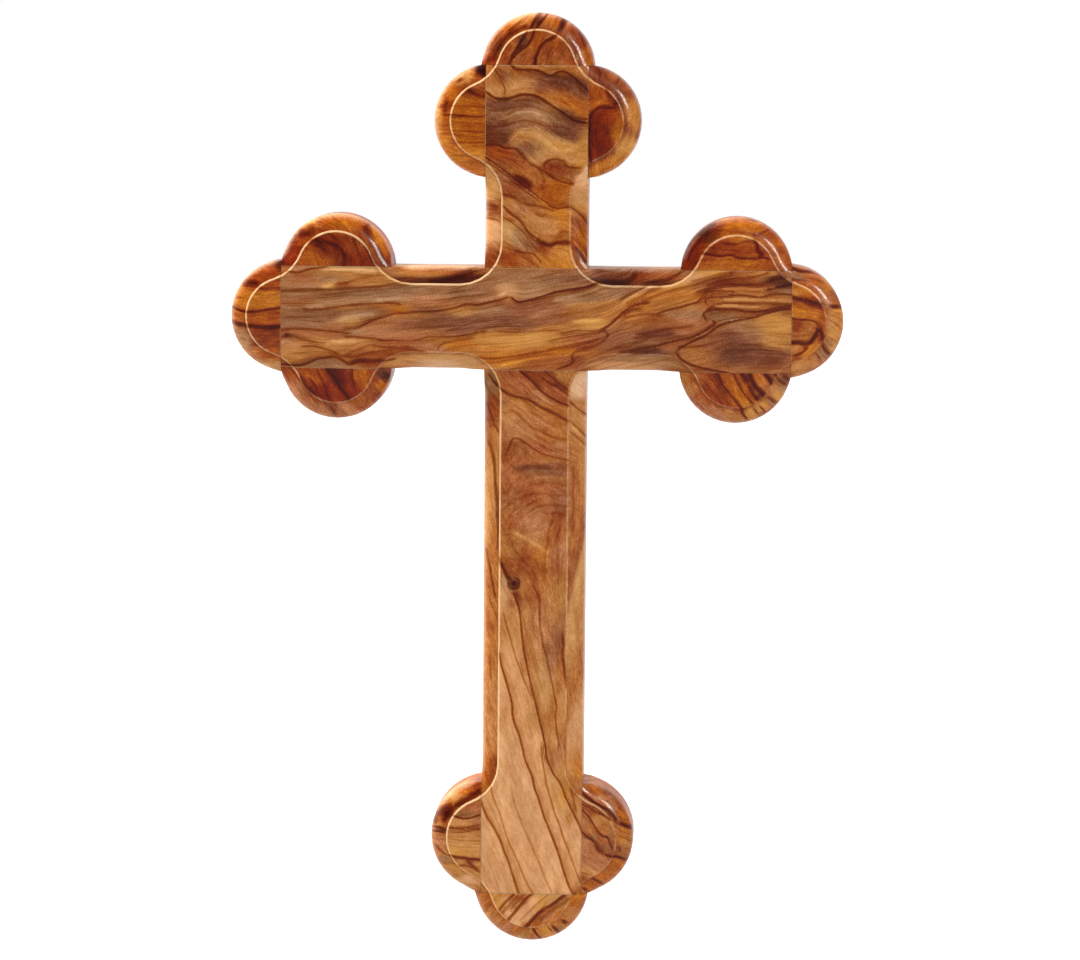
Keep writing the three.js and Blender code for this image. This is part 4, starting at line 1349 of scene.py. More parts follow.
        "-2.5,72.2 -0.6,71.8 1,71.2 3,69.9 4.6,68.9 6.5,67.7 8.5,66.5 10.1,65.4 11.7,64.3 13.7,63.7 "
        "16.6,63.4", Zone.BOTH, -1),
    Vein(0.6, 0.49, "10.1,65.9 12,65 14.3,64.6 16.9,64.5", Zone.BOTH),
    Vein(0.45, 0.42, "-15.2,81.4 -13.2,79.5 -11.9,77.2 -10.6,75 -10.3,73.1 -10.4,71.5"),
    Vein(-0.13, 0.65, "-16.3,63.9 -14,63.4 -11.8,63.9 -9.5,64.5 -7.6,65.8 -5.4,66.6 -2.5,66.6 0.1,66.1 "
        "2.7,65"),
    Vein(0.25, 0.49, "-16.3,61.9 -13.7,61.8 -10.5,61.9 -7.9,62.9 -5.6,63.7 -3.1,63.8 -0.2,63.2 2.4,62.4 "
        "6,61.9 9.2,61.9", fade=1),
    Vein(-0.13, 0.98, "-9.4,56.2 -8.2,57.8 -6.6,59.5 -4.7,60.8 -2.1,61.5 1.1,61.3 3.7,60.3 6,58.7 8,57.3 "
        "10.2,56.7 12.8,56.8"),
    Vein(-0.1, 0.52, "-9.1,55.7 -5.9,55.6 -4.3,54.3 -2.6,52.7 -1,51.1 0.3,50.1"),
    Vein(-0.1, 0.82, "2.5,58.4 4.7,56.2 7.3,54.6 10.6,54.6 13.8,55.9"),
    Vein(0.6, 0.52, "-16.9,55.9 -14.3,56.2 -12,55.9 -10.1,54.9 -8.1,54.9 -6.5,54.6 -5.2,53.3 -3.6,51.7 "
        "-2,50.1 -0.3,49.2 1.3,48.2 2.6,47.4", Zone.BOTH, 1),
    Vein(0.55, 0.65, "2.3,49.2 2.7,50.3 3.8,51.2 5.4,51.6 7.4,51.4 9,50.8 9.7,49.5 12.2,49 "
        "15.1,48.9", fade=-1),
    Vein(0.7, 0.59, "1.6,48.7 3.2,47.1 5.2,45.7 7.5,44.7 10.1,44 13,43.5"),
    Vein(-0.13, 0.46, "4.9,46.6 7.8,45.3 10.7,44.4 12.9,44.7 14.2,46.3 15.1,48.2"),
    Vein(0.75, 0.49, "-17.5,52.7 -14.6,50.8 -12,49 -9.3,47.1 -7.1,45.2 -4.8,43.4 -2.2,41.6 0.4,39.7 3,37.8 "
        "5,36.5 6.9,35.9 8.9,36.1 10.8,36.3 12.4,35.4 14,34 15.4,32.5 16.7,30.3 18,27.7", Zone.BOTH, 1),
    Vein(-0.13, 0.39, "-14.5,50.3 -10.3,47.2 -6.4,44.2 -2.5,41.3 1.1,38.8 3.7,37"),
    Vein(0.45, 0.42, "-15.5,50.6 -11.9,48 -8.7,45.5 -5.4,42.8 -2.2,40.4 1.7,37.7"),
    Vein(0.7, 1.18, "-7.4,46.1 -5.8,45.8 -3.8,44.7 -2.2,43.1 -1.5,42.1"),
    Vein(0.4, 0.98, "1.3,47.9 2.6,45 1.7,42.5 3.6,43.1"),
    Vein(0.4, 0.85, "-10.9,40.2 -8.6,39.9 -6.4,38.9 -4.4,37.5 -1.8,36.8 1.1,36.5 3.7,35.6 6.3,34.8"),
    Vein(0.35, 0.98, "-0.2,34.4 2.1,33.5 3.7,34.4"),
    Vein(0.75, 0.65, "-10.9,36.8 -9.2,34.9 -7.6,33.5 -5.6,32.2 -4,30.3 -2.4,28 -0.4,26.4 1.6,25.5", fade=1),
    Vein(0.92, 1.11, "-0.1,26.1 1.6,25 3.5,24.2 5.1,24 6.7,24.7 8.4,24.8 10.3,24.8 11.9,24.4", fade=1),
    Vein(0.5, 0.46, "-10.8,33.1 -7.9,31.4 -5.3,29.3 -3.3,27.5 -1.4,26.1 0.6,24.8 2.2,23.9"),
    Vein(0.4, 0.78, "7,28 9,28.5 11.2,28.2"),
    Vein(0.3, 0.36, "-4.6,26.4 -3,24.6 -1.3,23"),
    Vein(0.3, 0.36, "-3.3,26.7 -1.7,25 0,23"),
    Vein(0.3, 0.36, "-5.6,26.1 -3.9,24.2 -2.3,22.2"),
    Vein(0.5, 0.56, "-7.1,22.4 -4.9,21.7 -2.6,21.4 -0.7,21.1 0.7,19.7 2,18.1"),
    Vein(-0.1, 0.82, "-11.7,22.9 -9.4,22.4 -7.5,22.2"),
    Vein(0.5, 0.59, "-16.6,32.5 -14.6,32.3 -12.7,32 -11.4,31.3", Zone.EDGE),
    Vein(0.35, 0.98, "-16.6,36.8 -14.6,36.5 -12,35.8", Zone.EDGE),
    # These two lines beside the step, where the right edge turns at the crossing, are a painted shade and a
    # painted highlight of the step.
    Vein(0.95, 0.85, "12.4,23.7 13.7,22.1 15,20.1 16.3,18.2", Zone.EDGE),
    Vein(-0.5, 0.52, "11.7,25.9 13.3,24 15,21.8 16.6,19.2", Zone.EDGE),
    Vein(0.4, 0.52, "12.2,33.6 13.6,31.1 14.6,28.5 15.6,26.3", Zone.EDGE),
    Vein(0.85, 0.59, "-15.2,-17.6 -13.2,-20.5 -11.2,-22.4 -8.9,-24 -6.6,-24.9 -4.4,-25.3 -2.4,-25.9 "
        "-0.4,-26.9 1.8,-28.2 4.5,-29.5 7.1,-30.7 9.4,-32 11.3,-33.1", Zone.BOTH, 1),
    Vein(0.5, 0.59, "-3.7,-22.7 -1.8,-24.6"),
    Vein(0.8, 0.65, "-5.4,-15.6 -3.5,-17.8 -1.8,-19.1 0.1,-21 2.1,-23.1 4.1,-24.6 6.4,-25.9 8.7,-27 "
        "11.3,-27.9", fade=1),
    Vein(0.6, 0.59, "2,-15.5 4,-17.3 6,-19.1 8.3,-21 10.6,-22.9", fade=1),
    Vein(0.55, 0.59, "2.1,-18.6 4.7,-20.4 7.3,-21.8 9.6,-23.4 11.2,-24.7"),
    Vein(0.3, 0.65, "-8.6,-29.1 -5.9,-30.5 -3.3,-32.8 -0.7,-34.9 2.3,-36.5 5.5,-37.9 8.5,-38.7 "
        "11.4,-38.8", fade=1),
    Vein(0.55, 0.49, "-10,-44.5 -8.7,-42.9 -7.8,-40.3 -6.8,-38.6 -5.2,-38.7 -2.9,-39.9 -0.6,-41.5 1.4,-42.8 "
        "3.7,-43.8 6.3,-44.4 8.6,-44.9 11.5,-45.5", fade=-1),
    Vein(0.5, 0.98, "-11,-44.2 -9.7,-44.7"),
    Vein(0.28, 1.31, "-4.8,-48.7 -2.2,-47.7 0.4,-47.4 3.1,-48 5.7,-48.3"),
    Vein(0.18, 0.98, "6.3,-48.7 8.6,-48.3 11.2,-48.6"),
    Vein(0.22, 0.72, "-10.5,-62.2 -8.2,-60.2 -6,-57.7 -3.7,-55.3 -0.8,-53.6 2.5,-52.9 5.7,-52.9 8.7,-53.5 "
        "11.3,-53.8"),
    Vein(-0.12, 0.85, "-9.6,-58.6 -7,-56.3 -4.1,-53.3 -0.8,-51.7 3.1,-51 7.3,-51.3 11.2,-51.9"),
    Vein(0.2, 0.78, "-8.1,-68.7 -7.2,-66.1 -5.3,-63.3 -3,-61 -0.4,-59.2 2.5,-57.8 5.8,-57.1 8.7,-57.1 "
        "11.3,-57.4"),
    Vein(-0.15, 0.92, "-6.9,-64.1 -4.6,-61.5 -2,-59.7 0.9,-58.2 4.1,-57.3"),
    Vein(0.22, 0.65, "-6.5,-68.4 -4.6,-65.1 -1.7,-62.6 1.6,-60.8 5.2,-60.1 8.7,-60.2 11.4,-60.7"),
    Vein(0.3, 0.98, "5.2,-63 7.8,-62.7 10.7,-63.3"),
    Vein(0.26, 0.65, "6.2,-65 4.9,-68.3 4.6,-71.9 4,-75.5 3.7,-79.1 4.4,-83.1"),
    Vein(-0.22, 1.05, "-6.2,-69.1 -3.5,-70.7 -0.6,-72.4 2.4,-74.2 4.4,-75.8"),
    Vein(0.3, 0.65, "-7.8,-70.4 -6.8,-73.7 -5.1,-76.3 -2.8,-78.9 -0.5,-81.1 0.9,-84.7"),
    Vein(0.18, 0.98, "-4.2,-74.3 -1.8,-76.9 0.8,-78.8 2.8,-81.8 3.8,-85.4"),
    Vein(0.2, 0.78, "8.8,-65 7.9,-71.5 7.7,-78.1 8.1,-86.3"),
    Vein(0.9, 0.72, "-11.7,-77 -10.7,-79.6 -9.3,-82.2 -8,-84.3 -7,-85.2", fade=1),
    Vein(0.9, 0.65, "-8.2,-85.2 -7.8,-87 -6.6,-87.8 -5.1,-87.4 -4.5,-86.1 -4.9,-84.7 -6,-84"),
    Vein(0.45, 1.47, "-5.6,-88.8 -4.6,-91.4"),
    Vein(0.6, 0.65, "-15.7,-26.9 -14,-31.8 -12.3,-35.4 -11.3,-37.3", Zone.EDGE),
    # This dark line runs beside the step down the left edge.
    Vein(0.75, 0.98, "-15.5,-39.3 -14.2,-41.9 -13.2,-45.2 -12.8,-49.1 -12.4,-55.7 -11.7,-60.6 -11.7,-63.9 "
        "-11.3,-68.8 -11.4,-75.4", Zone.EDGE),
    Vein(0.7, 0.65, "-15.5,-74.8 -14.8,-78.7 -14.1,-81.3 -13.5,-85.3 -12.8,-88.6 -12.1,-91.2", Zone.EDGE),
    Vein(0.3, 0.65, "-14.2,-110.1 -13.5,-118.4", Zone.EDGE),
    Vein(0.6, 0.59, "11.4,-26.4 13,-28.1 15,-29.7 18,-32.2", Zone.EDGE),
    Vein(0.6, 0.59, "11.5,-32.6 13.4,-34.6 15.7,-37.1 18.1,-41", Zone.EDGE),
    Vein(0.5, 0.59, "11.5,-36.2 13.8,-38.1 17.4,-41.7", Zone.EDGE),
    Vein(0.35, 0.98, "12.6,-47.3 12.8,-58.7 12.6,-70.2", Zone.EDGE),
    Vein(0.9, 0.65, "-10.7,-79 -9.7,-81.6 -8.6,-83.9 -7.6,-85.5", fade=1),
    Vein(3, 1.31, "-6.8,-85.8 -5.8,-86.3"),
    Vein(0.8, 0.49, "-6.6,-88.8 -5.6,-91.1 -4.6,-94 -4.1,-97.3 -3.7,-101.3 -3.3,-104.6 -2.8,-108.5 "
        "-2.1,-111.8 -1.4,-115.1 -0.7,-118.4 0.1,-121.7 1,-125 1.8,-128.4 2.5,-131.7 3.1,-133.7 3.8,-137 "
        "4.5,-140.3 4.8,-143.6 6.2,-146.9 7.2,-148.9 8.9,-151.2 10.2,-153.8 11.2,-156.5 12.6,-159.5 "
        "13.9,-162.1 15.3,-164.8 16.3,-167.1 17.7,-170.1", Zone.BOTH, 1),
    Vein(0.4, 0.46, "-9.8,-95.4 -8.5,-100 -7.5,-103.3 -6.4,-107.3 -5.4,-110.6 -4.1,-113.8 -3,-117.1 "
        "-1.7,-120.1 -0.3,-123.7"),
    Vein(0.85, 0.52, "-11,-108.6 -10.5,-111.9 -9.6,-114.9 -8.6,-118.2 -7.6,-121.9 -6.6,-125.8 -6.4,-129.5 "
        "-5.5,-132.8 -4.1,-136.4 -3.1,-140.4 -2.1,-144.4 -0.7,-147.7 0.3,-150.3 1,-153.7 2.3,-157 "
        "3.4,-160.6 4.4,-163.6 5.8,-167 7.1,-170.3 8.5,-173.9 9.5,-176.9 10.5,-180.3 11.6,-183.6 "
        "12.6,-186.3 13.3,-187.6 14.3,-189.9", Zone.BOTH, 1),
    Vein(0.5, 0.49, "1.2,-88 2.2,-91.3 2.3,-99.6 3,-103.2 3.4,-106.5 4.4,-109.4 5.1,-112.7 5.8,-116 "
        "6.5,-118.7 7.2,-122.6 7.9,-125.9 7.6,-129.3 8,-133.6 8.7,-138.2 8.7,-140.9"),
    Vein(0.65, 0.72, "9.6,-101.8 10,-106.1 9.7,-109.4 10.4,-113.7 10.8,-117.6 11.1,-120.9"),
    Vein(0.45, 0.49, "3.1,-139.3 3.5,-144.3 4.2,-148.3 4.9,-152.3 6,-156.3 7,-159.6 8,-162.6 9.4,-166.2 "
        "10.4,-169.5 11.8,-172.9 12.8,-175.9 14.2,-179.5 15.5,-182.9 16.9,-185.5 18.2,-188.2"),
    Vein(0.7, 0.59, "-17.8,-155.3 -16.5,-158.6 -15.4,-161.6 -14.1,-164.3 -12.4,-166.9 -11.1,-169.3 "
        "-9.7,-172.3 -8.7,-175.3 -7.3,-178.6 -6.3,-181.9 -5.3,-184.9 -4.3,-187.9 -3.2,-190.6", Zone.BOTH, 1),
    Vein(0.35, 0.49, "-13.6,-152.2 -12.9,-155.6 -11.8,-158.9 -10.5,-161.9 -9.5,-165.2 -8.4,-168.9 "
        "-7.1,-172.2 -5.7,-175.2 -4.4,-178.2 -3,-181.5 -1.3,-185.2 0,-187.5 1.4,-190.2"),
    Vein(0.25, 0.49, "-6.6,-154.5 -5.9,-157.8 -4.5,-161.8 -3.2,-165.1 -1.8,-168.4 -0.1,-172.1 1.2,-175.4 "
        "2.6,-178.4 3.9,-181.7 5.3,-185.1 6.3,-187.1 7.3,-189.7"),
    Vein(0.5, 0.52, "12.5,-152.8 13.5,-155.8 14.2,-159.1 14.9,-161.4"),
    # This line along the step at the lower right is painted shade of the step's edge.
    Vein(0.5, 0.82, "11.6,-129.2 11,-136.9 11.1,-144.2 12.5,-150.8 15.2,-156.1"),
))
FIGURES["right_arm_lower_bud"] = Figure(base=Tone.RUST, grain=-52, lean=-35, seed=19, face={
    Tone.MOCHA: "52.5 -18.5 1.3 1.3; 55.1 -19.1 2 1; 75.4 -21.5 1 1",
    Tone.GARNET: "54.5 -21.7 1.3 2.6; 59.4 -23.6 1.6 2; 58.6 -18.1 1.3 1; 72.6 -23.8 0.7 1",
    Tone.RUST: "57.4 -20.4 2 2.6; 56.8 -24.9 2.6 2; 60.7 -26.2 2 1.3",
    Tone.COPPER: "61.2 -18.1 1 1.3; 70.4 -25.4 1 1",
    Tone.HAZEL: "62.2 -20.3 1 1.6; 63.9 -22.6 1 2; 65.9 -24.8 1 1.6; 65.4 -18.4 1 1.3; 67.1 -20.9 1 1.6; "
        "68.7 -23.5 1 1.3",
    Tone.DRAB: "67.8 -26.4 1.6 1",
    Tone.SIENNA: "72.8 -18 1.6 1.3",
    Tone.FAWN: "74.1 -20.3 1.3 1.3",
    Tone.AMBER: "71.9 -22.5 0.5 0.8",
    Tone.COCOA: "76.3 -18.3 0.7 0.7",
}, edge={
    Tone.FAWN: "47.6 -19.4 1.6 2",
    Tone.CAMEL: "49.6 -23.3 1.3 2; 63.3 -31 2 1.3",
    Tone.TAWNY: "51.6 -26.5 2 1.6",
    Tone.CARAMEL: "54.8 -29.1 2.6 1.3; 59.4 -30.7 2.6 1.3; 75.4 -23.4 1 1",
    Tone.OCHRE: "66.5 -31.3 1.3 1",
    Tone.SAND: "69.7 -30.3 1.3 1.3; 74.2 -27 1 1; 78.3 -23.7 1.3 1.6",
    Tone.APRICOT: "71.9 -28.3 1 1; 77.6 -21.8 1.3 1",
    Tone.AMBER: "76.4 -25.7 1 1; 78.8 -19.2 1.6 1",
    Tone.TOFFEE: "80.2 -21.5 1 1",
    Tone.RUSSET: "80.7 -18.2 1 1.3",
}, veins=(
    Vein(0.95, 0.78, "57.6,-15.2 58.6,-17 59.5,-18.4 60.6,-20.5 62.3,-22.5 63.9,-24.3 65.6,-26.4 66.8,-27.9 "
        "67.2,-29.5 68.9,-31.9", Zone.BOTH),
    Vein(0.4, 1.31, "58,-16.5 59.3,-19.1 61.3,-22.3 63.6,-25.2"),
    Vein(0.3, 0.33, "53.5,-18.4 56.1,-21 58.8,-24.2 61.1,-27.4"),
    Vein(0.3, 0.33, "52.2,-19.1 54.2,-21.7 56.8,-24.9 58.8,-27.1"),
    Vein(0.25, 0.33, "55.7,-17.1 58.4,-20.4 60.7,-23.6 63,-26.5"),
    Vein(0.65, 0.49, "63.8,-15.8 65,-18.6 66.3,-21 67.5,-23 69.6,-25.4 71,-26.6"),
    Vein(0.3, 0.33, "66,-17.1 67.4,-19.7 68.7,-22.5 70.4,-25.1"),
    Vein(1.1, 1.44, "66.3,-15.8 67.6,-17.7 69,-20"),
    Vein(1, 0.92, "68.6,-19.3 69.5,-21.4 70.7,-23.4 72.3,-25.4"),
    Vein(1.1, 1.44, "68.9,-15.8 70.1,-19 71.6,-21.1 73.2,-22.7 74.8,-24.3"),
    Vein(1.1, 1.18, "73.7,-15.7 75.4,-18 77,-20.4"),
    Vein(0.9, 0.52, "76.9,-16 78.2,-17.7"),
    Vein(0.55, 0.98, "77.8,-17.6 79.5,-19.1 81.8,-20.8", Zone.EDGE),
    Vein(0.5, 0.98, "74.7,-23.8 76.4,-25 78.3,-26.5", Zone.EDGE),
    Vein(0.8, 0.65, "72.4,-27 73.5,-28 74.8,-29.4", Zone.EDGE),
    Vein(0.55, 0.49, "70.5,-27.5 71.3,-28.6 72.6,-30.1", Zone.EDGE),
    Vein(0.6, 0.85, "80.1,-16.9 82,-18.9", Zone.EDGE),
    Vein(0.2, 0.33, "61.3,-29.7 64.2,-30 66.8,-30", Zone.EDGE),
))
FIGURES["right_arm_outer_bud"] = Figure(base=Tone.COPPER, grain=-5, lean=0, seed=17, face={
    Tone.HAZEL: "84.1 11.9 2.6 1.3; 85.2 4.6 3.3 1.3",
    Tone.SIENNA: "87.6 11 2.3 1; 89 3.6 2 1.3",
    Tone.GOLD: "83.5 10 1.3 0.7; 86.1 -7.6 1 0.5",
    Tone.DRAB: "85.8 2.6 3.9 0.7; 89.3 -7.9 1.3 1.3; 87.4 -9.6 1.6 1",
    Tone.RUST: "84.7 -1.5 1.6 1; 92.2 3.3 0.7 1.3",
    Tone.FAWN: "87.9 -1.5 1.6 1.6; 84.7 -4.4 2 1; 88.5 -4.1 1 1.3; 84.5 -8.3 1.3 1",
    Tone.GARNET: "85.1 6.5 4.6 0.7",
    Tone.UMBER: "89.9 5.7 2 1",
}, edge={
    Tone.FAWN: "83.2 18.7 2 0.7; 87.4 18.1 2.6 0.7",
    Tone.AMBER: "84.2 15.2 2 0.7; 92.8 -10.1 1.3 1.3",
    Tone.TAWNY: "88.1 14.9 2 0.7",
    Tone.SIENNA: "91.9 15.6 2 1.3",
    Tone.GOLD: "94.5 12.4 1.6 1.6; 97.3 2.8 1.6 1.6; 98 -0.4 1 1.6; 87.4 -12.1 1.6 0.7",
    Tone.CHESTNUT: "96.8 9.2 1 1.3",
    Tone.APRICOT: "95.4 -0.4 1.3 2; 88 -13.3 2 1; 84.8 -14.7 2.3 1",
    Tone.SAND: "96.1 -3.7 1.3 1.6",
    Tone.TOFFEE: "94.6 -6.2 1 1",
    Tone.HONEY: "96.2 -8.2 1 1",
    Tone.CARAMEL: "90.2 -11.7 1.3 1; 93.7 7.2 1 1.3",
    Tone.OCHRE: "85.5 -16.9 2.3 0.7",
}, veins=(
    Vein(0.95, 0.98, "80,8.7 82.2,8.3 84.3,7.8 87.5,7 90.2,6.3 92.8,5.9", Zone.BOTH),
    Vein(0.5, 1.5, "86.1,7.1 88.6,6.4 90.9,5.9 92.8,5.4"),
    Vein(0.95, 0.98, "94.3,5.4 96.3,5.2 99.1,5.2", Zone.EDGE),
    Vein(0.75, 0.46, "80.1,1.8 82.4,1.5 84.9,1 87.6,1 90,0.4 91,-0.5 91.5,-2.5"),
    Vein(1.15, 1.11, "80.3,-6.2 82.5,-6.4 85,-6.4 87,-6.9 88.6,-6.3 89.8,-4.7 90.8,-2.8 91.2,-1.2"),
    Vein(1.1, 0.98, "91,-1.5 92,-3.1 92.7,-4.7 92.3,-6.3"),
    Vein(0.6, 0.52, "91.2,-3.4 91.1,-5"),
    Vein(0.85, 0.65, "83.2,-10.7 85.5,-9.9 86.9,-8.7 88.1,-7.6"),
    Vein(0.3, 0.33, "82.5,-4.1 85,-4.3 87.6,-3.8"),
    Vein(0.65, 0.78, "92.6,-6.6 93,-8.5 94.7,-10 95.6,-10.4", Zone.EDGE),
    Vein(0.5, 0.52, "90.2,-9.5 91.2,-10.8 92.2,-12", Zone.EDGE),
    Vein(0.85, 0.72, "81,18 83.2,17 85.2,16.4 89.3,16.1 91.3,15.1", Zone.EDGE),
    Vein(1, 1.63, "79.2,16.1 80.8,15.4", Zone.BOTH),
    Vein(0.5, 0.52, "81.4,13.8 84.6,13.7 87.5,13.4", Zone.EDGE),
    Vein(0.4, 0.39, "86,12.7 88.2,12.1 90.5,10.7 92.1,8.4"),
    Vein(0.35, 0.39, "94.1,1.5 96.4,-0.1 98.7,-2", Zone.EDGE),
    Vein(0.3, 0.39, "94.2,-4.3 96.2,-5.6 97.5,-6.5", Zone.EDGE),
    Vein(0.3, 0.39, "95.8,12.1 97.1,9.8 98.1,7.3", Zone.EDGE),
))
FIGURES["right_arm_upper_bud"] = Figure(base=Tone.COPPER, grain=0, lean=0, seed=18, face={
    Tone.SIENNA: "59.3 18.2 6.5 1.3; 63.9 26.9 4.6 1",
    Tone.HAZEL: "65.7 18.6 5.9 1.3",
    Tone.RUST: "73.7 18.3 3.3 1.3; 54.5 20.1 2.6 1.3; 64 23.4 6.5 1.3",
    Tone.OXBLOOD: "57.6 25.6 3.9 1.3",
    Tone.COCOA: "69.4 27.2 2 1.3",
}, edge={
    Tone.MAHOGANY: "49.5 23.1 2 3.9; 51.6 26.3 1.6 2.6; 57.7 30.2 2 1.3",
    Tone.UMBER: "47.6 19.9 1.6 2.3",
    Tone.MAROON: "53.5 28.3 2.9 2",
    Tone.HAZEL: "63.8 30.5 3.3 2.3; 70.8 30.5 2.6 2.3",
    Tone.COPPER: "78.3 24.2 2 2.9; 80.6 19.7 1.3 2",
    Tone.RUSSET: "45.7 18.6 0.7 2",
    Tone.MOCHA: "48.1 24.7 0.7 1.3",
}, veins=(
    Vein(0.8, 0.62, "50.3,21.7 51.9,21.7 54.4,21.8 57.6,21.3 59.9,21.1 61.8,21.5 63.7,21.1 65.7,20.5 "
        "68.2,20.5 70.8,20.5 73,20.8 75.3,20.2", fade=1),
    Vein(0.4, 0.52, "59.8,25.3 64,25 67.2,25.9 69.4,25.9"),
    Vein(0.8, 0.98, "69.4,26.9 71,25 71.4,22.8 72.7,21.8 71.1,20.8"),
    Vein(0.7, 0.72, "67.6,33.4 69.8,32.5 72.1,32.1", Zone.EDGE),
    Vein(0.7, 0.98, "69.6,28.3 70.9,27.7", Zone.EDGE),
    Vein(0.5, 0.65, "75.3,29.9 72.4,28.6 71.2,27.7", Zone.EDGE),
    Vein(0.3, 0.52, "54.1,24.3 56.6,23.7 59.8,23.7"),
    Vein(0.7, 0.78, "46.6,18.6 48.2,22.2 50.1,25.4 52.3,27.9 54.8,29.9 57.7,31.2", Zone.EDGE),
    Vein(0.6, 0.52, "48.6,18.6 49.8,21.8 51.7,24.7 53.6,27 55.5,28.3", Zone.EDGE),
    Vein(-0.4, 0.33, "45.3,18.6 46.6,21.5 48.5,24.7 50.7,27.6 52.9,29.5", Zone.EDGE),
    Vein(-0.3, 0.26, "49.1,22.5 51,25.7 52.6,27.6", Zone.EDGE),
))
FIGURES["top_arm_right_bud"] = Figure(base=Tone.GARNET, grain=60, lean=30, seed=13, face={
    Tone.MAHOGANY: "21.8 54.6 3.3 3.3; 21.1 58.4 2.9 2.9",
    Tone.UMBER: "20.1 63.5 2.9 2.9",
    Tone.OXBLOOD: "23.9 65.4 2.6 2",
    Tone.HAZEL: "27.1 63.5 1.6 3.3; 24.1 51.4 2.6 1.6",
    Tone.DRAB: "26.6 57.8 1.6 3.3; 17.7 77.5 2 2",
    Tone.COPPER: "18.4 70.5 2.3 2.3",
    Tone.RUST: "19.9 75 2.6 2.6",
    Tone.SIENNA: "20.3 48.2 2.6 1.3",
}, edge={
    Tone.DRAB: "21.7 48.7 3.9 1.3",
    Tone.GOLD: "32.8 62.4 1.3 3.3; 31.4 67.8 1.6 2.3; 26.5 50.6 2.6 1.6",
    Tone.MOCHA: "27.7 79.3 2.3 2",
    Tone.COCOA: "30 75.1 1.6 2.6",
    Tone.SAND: "30.3 54.4 2.3 2.9",
}, veins=(
    Vein(0.85, 0.85, "14.6,63.8 16.9,64.2 17.5,65.7 18.4,67 19.7,68.1 21,68.3 22.6,68.3 23.9,68.3 "
        "25.8,68.6", Zone.BOTH),
    Vein(0.9, 2.29, "24.2,69.9 26.4,69.5"),
    Vein(0.8, 0.85, "17.2,64.5 16.6,61 16.6,57.8 17,54.6 17.4,51.4 18,48.9"),
    Vein(0.55, 0.82, "20.8,79.4 21.2,77.5 21.9,75 22.8,72.7 24.2,70.8"),
    Vein(0.4, 0.65, "26.5,78 25.2,75.5", Zone.EDGE),
    Vein(0.2, 0.49, "26.5,65.7 27.8,62.6 27.6,57.8 26,54.6"),
    Vein(0.4, 0.65, "33.1,62.1 31.9,57.6", Zone.EDGE),
))
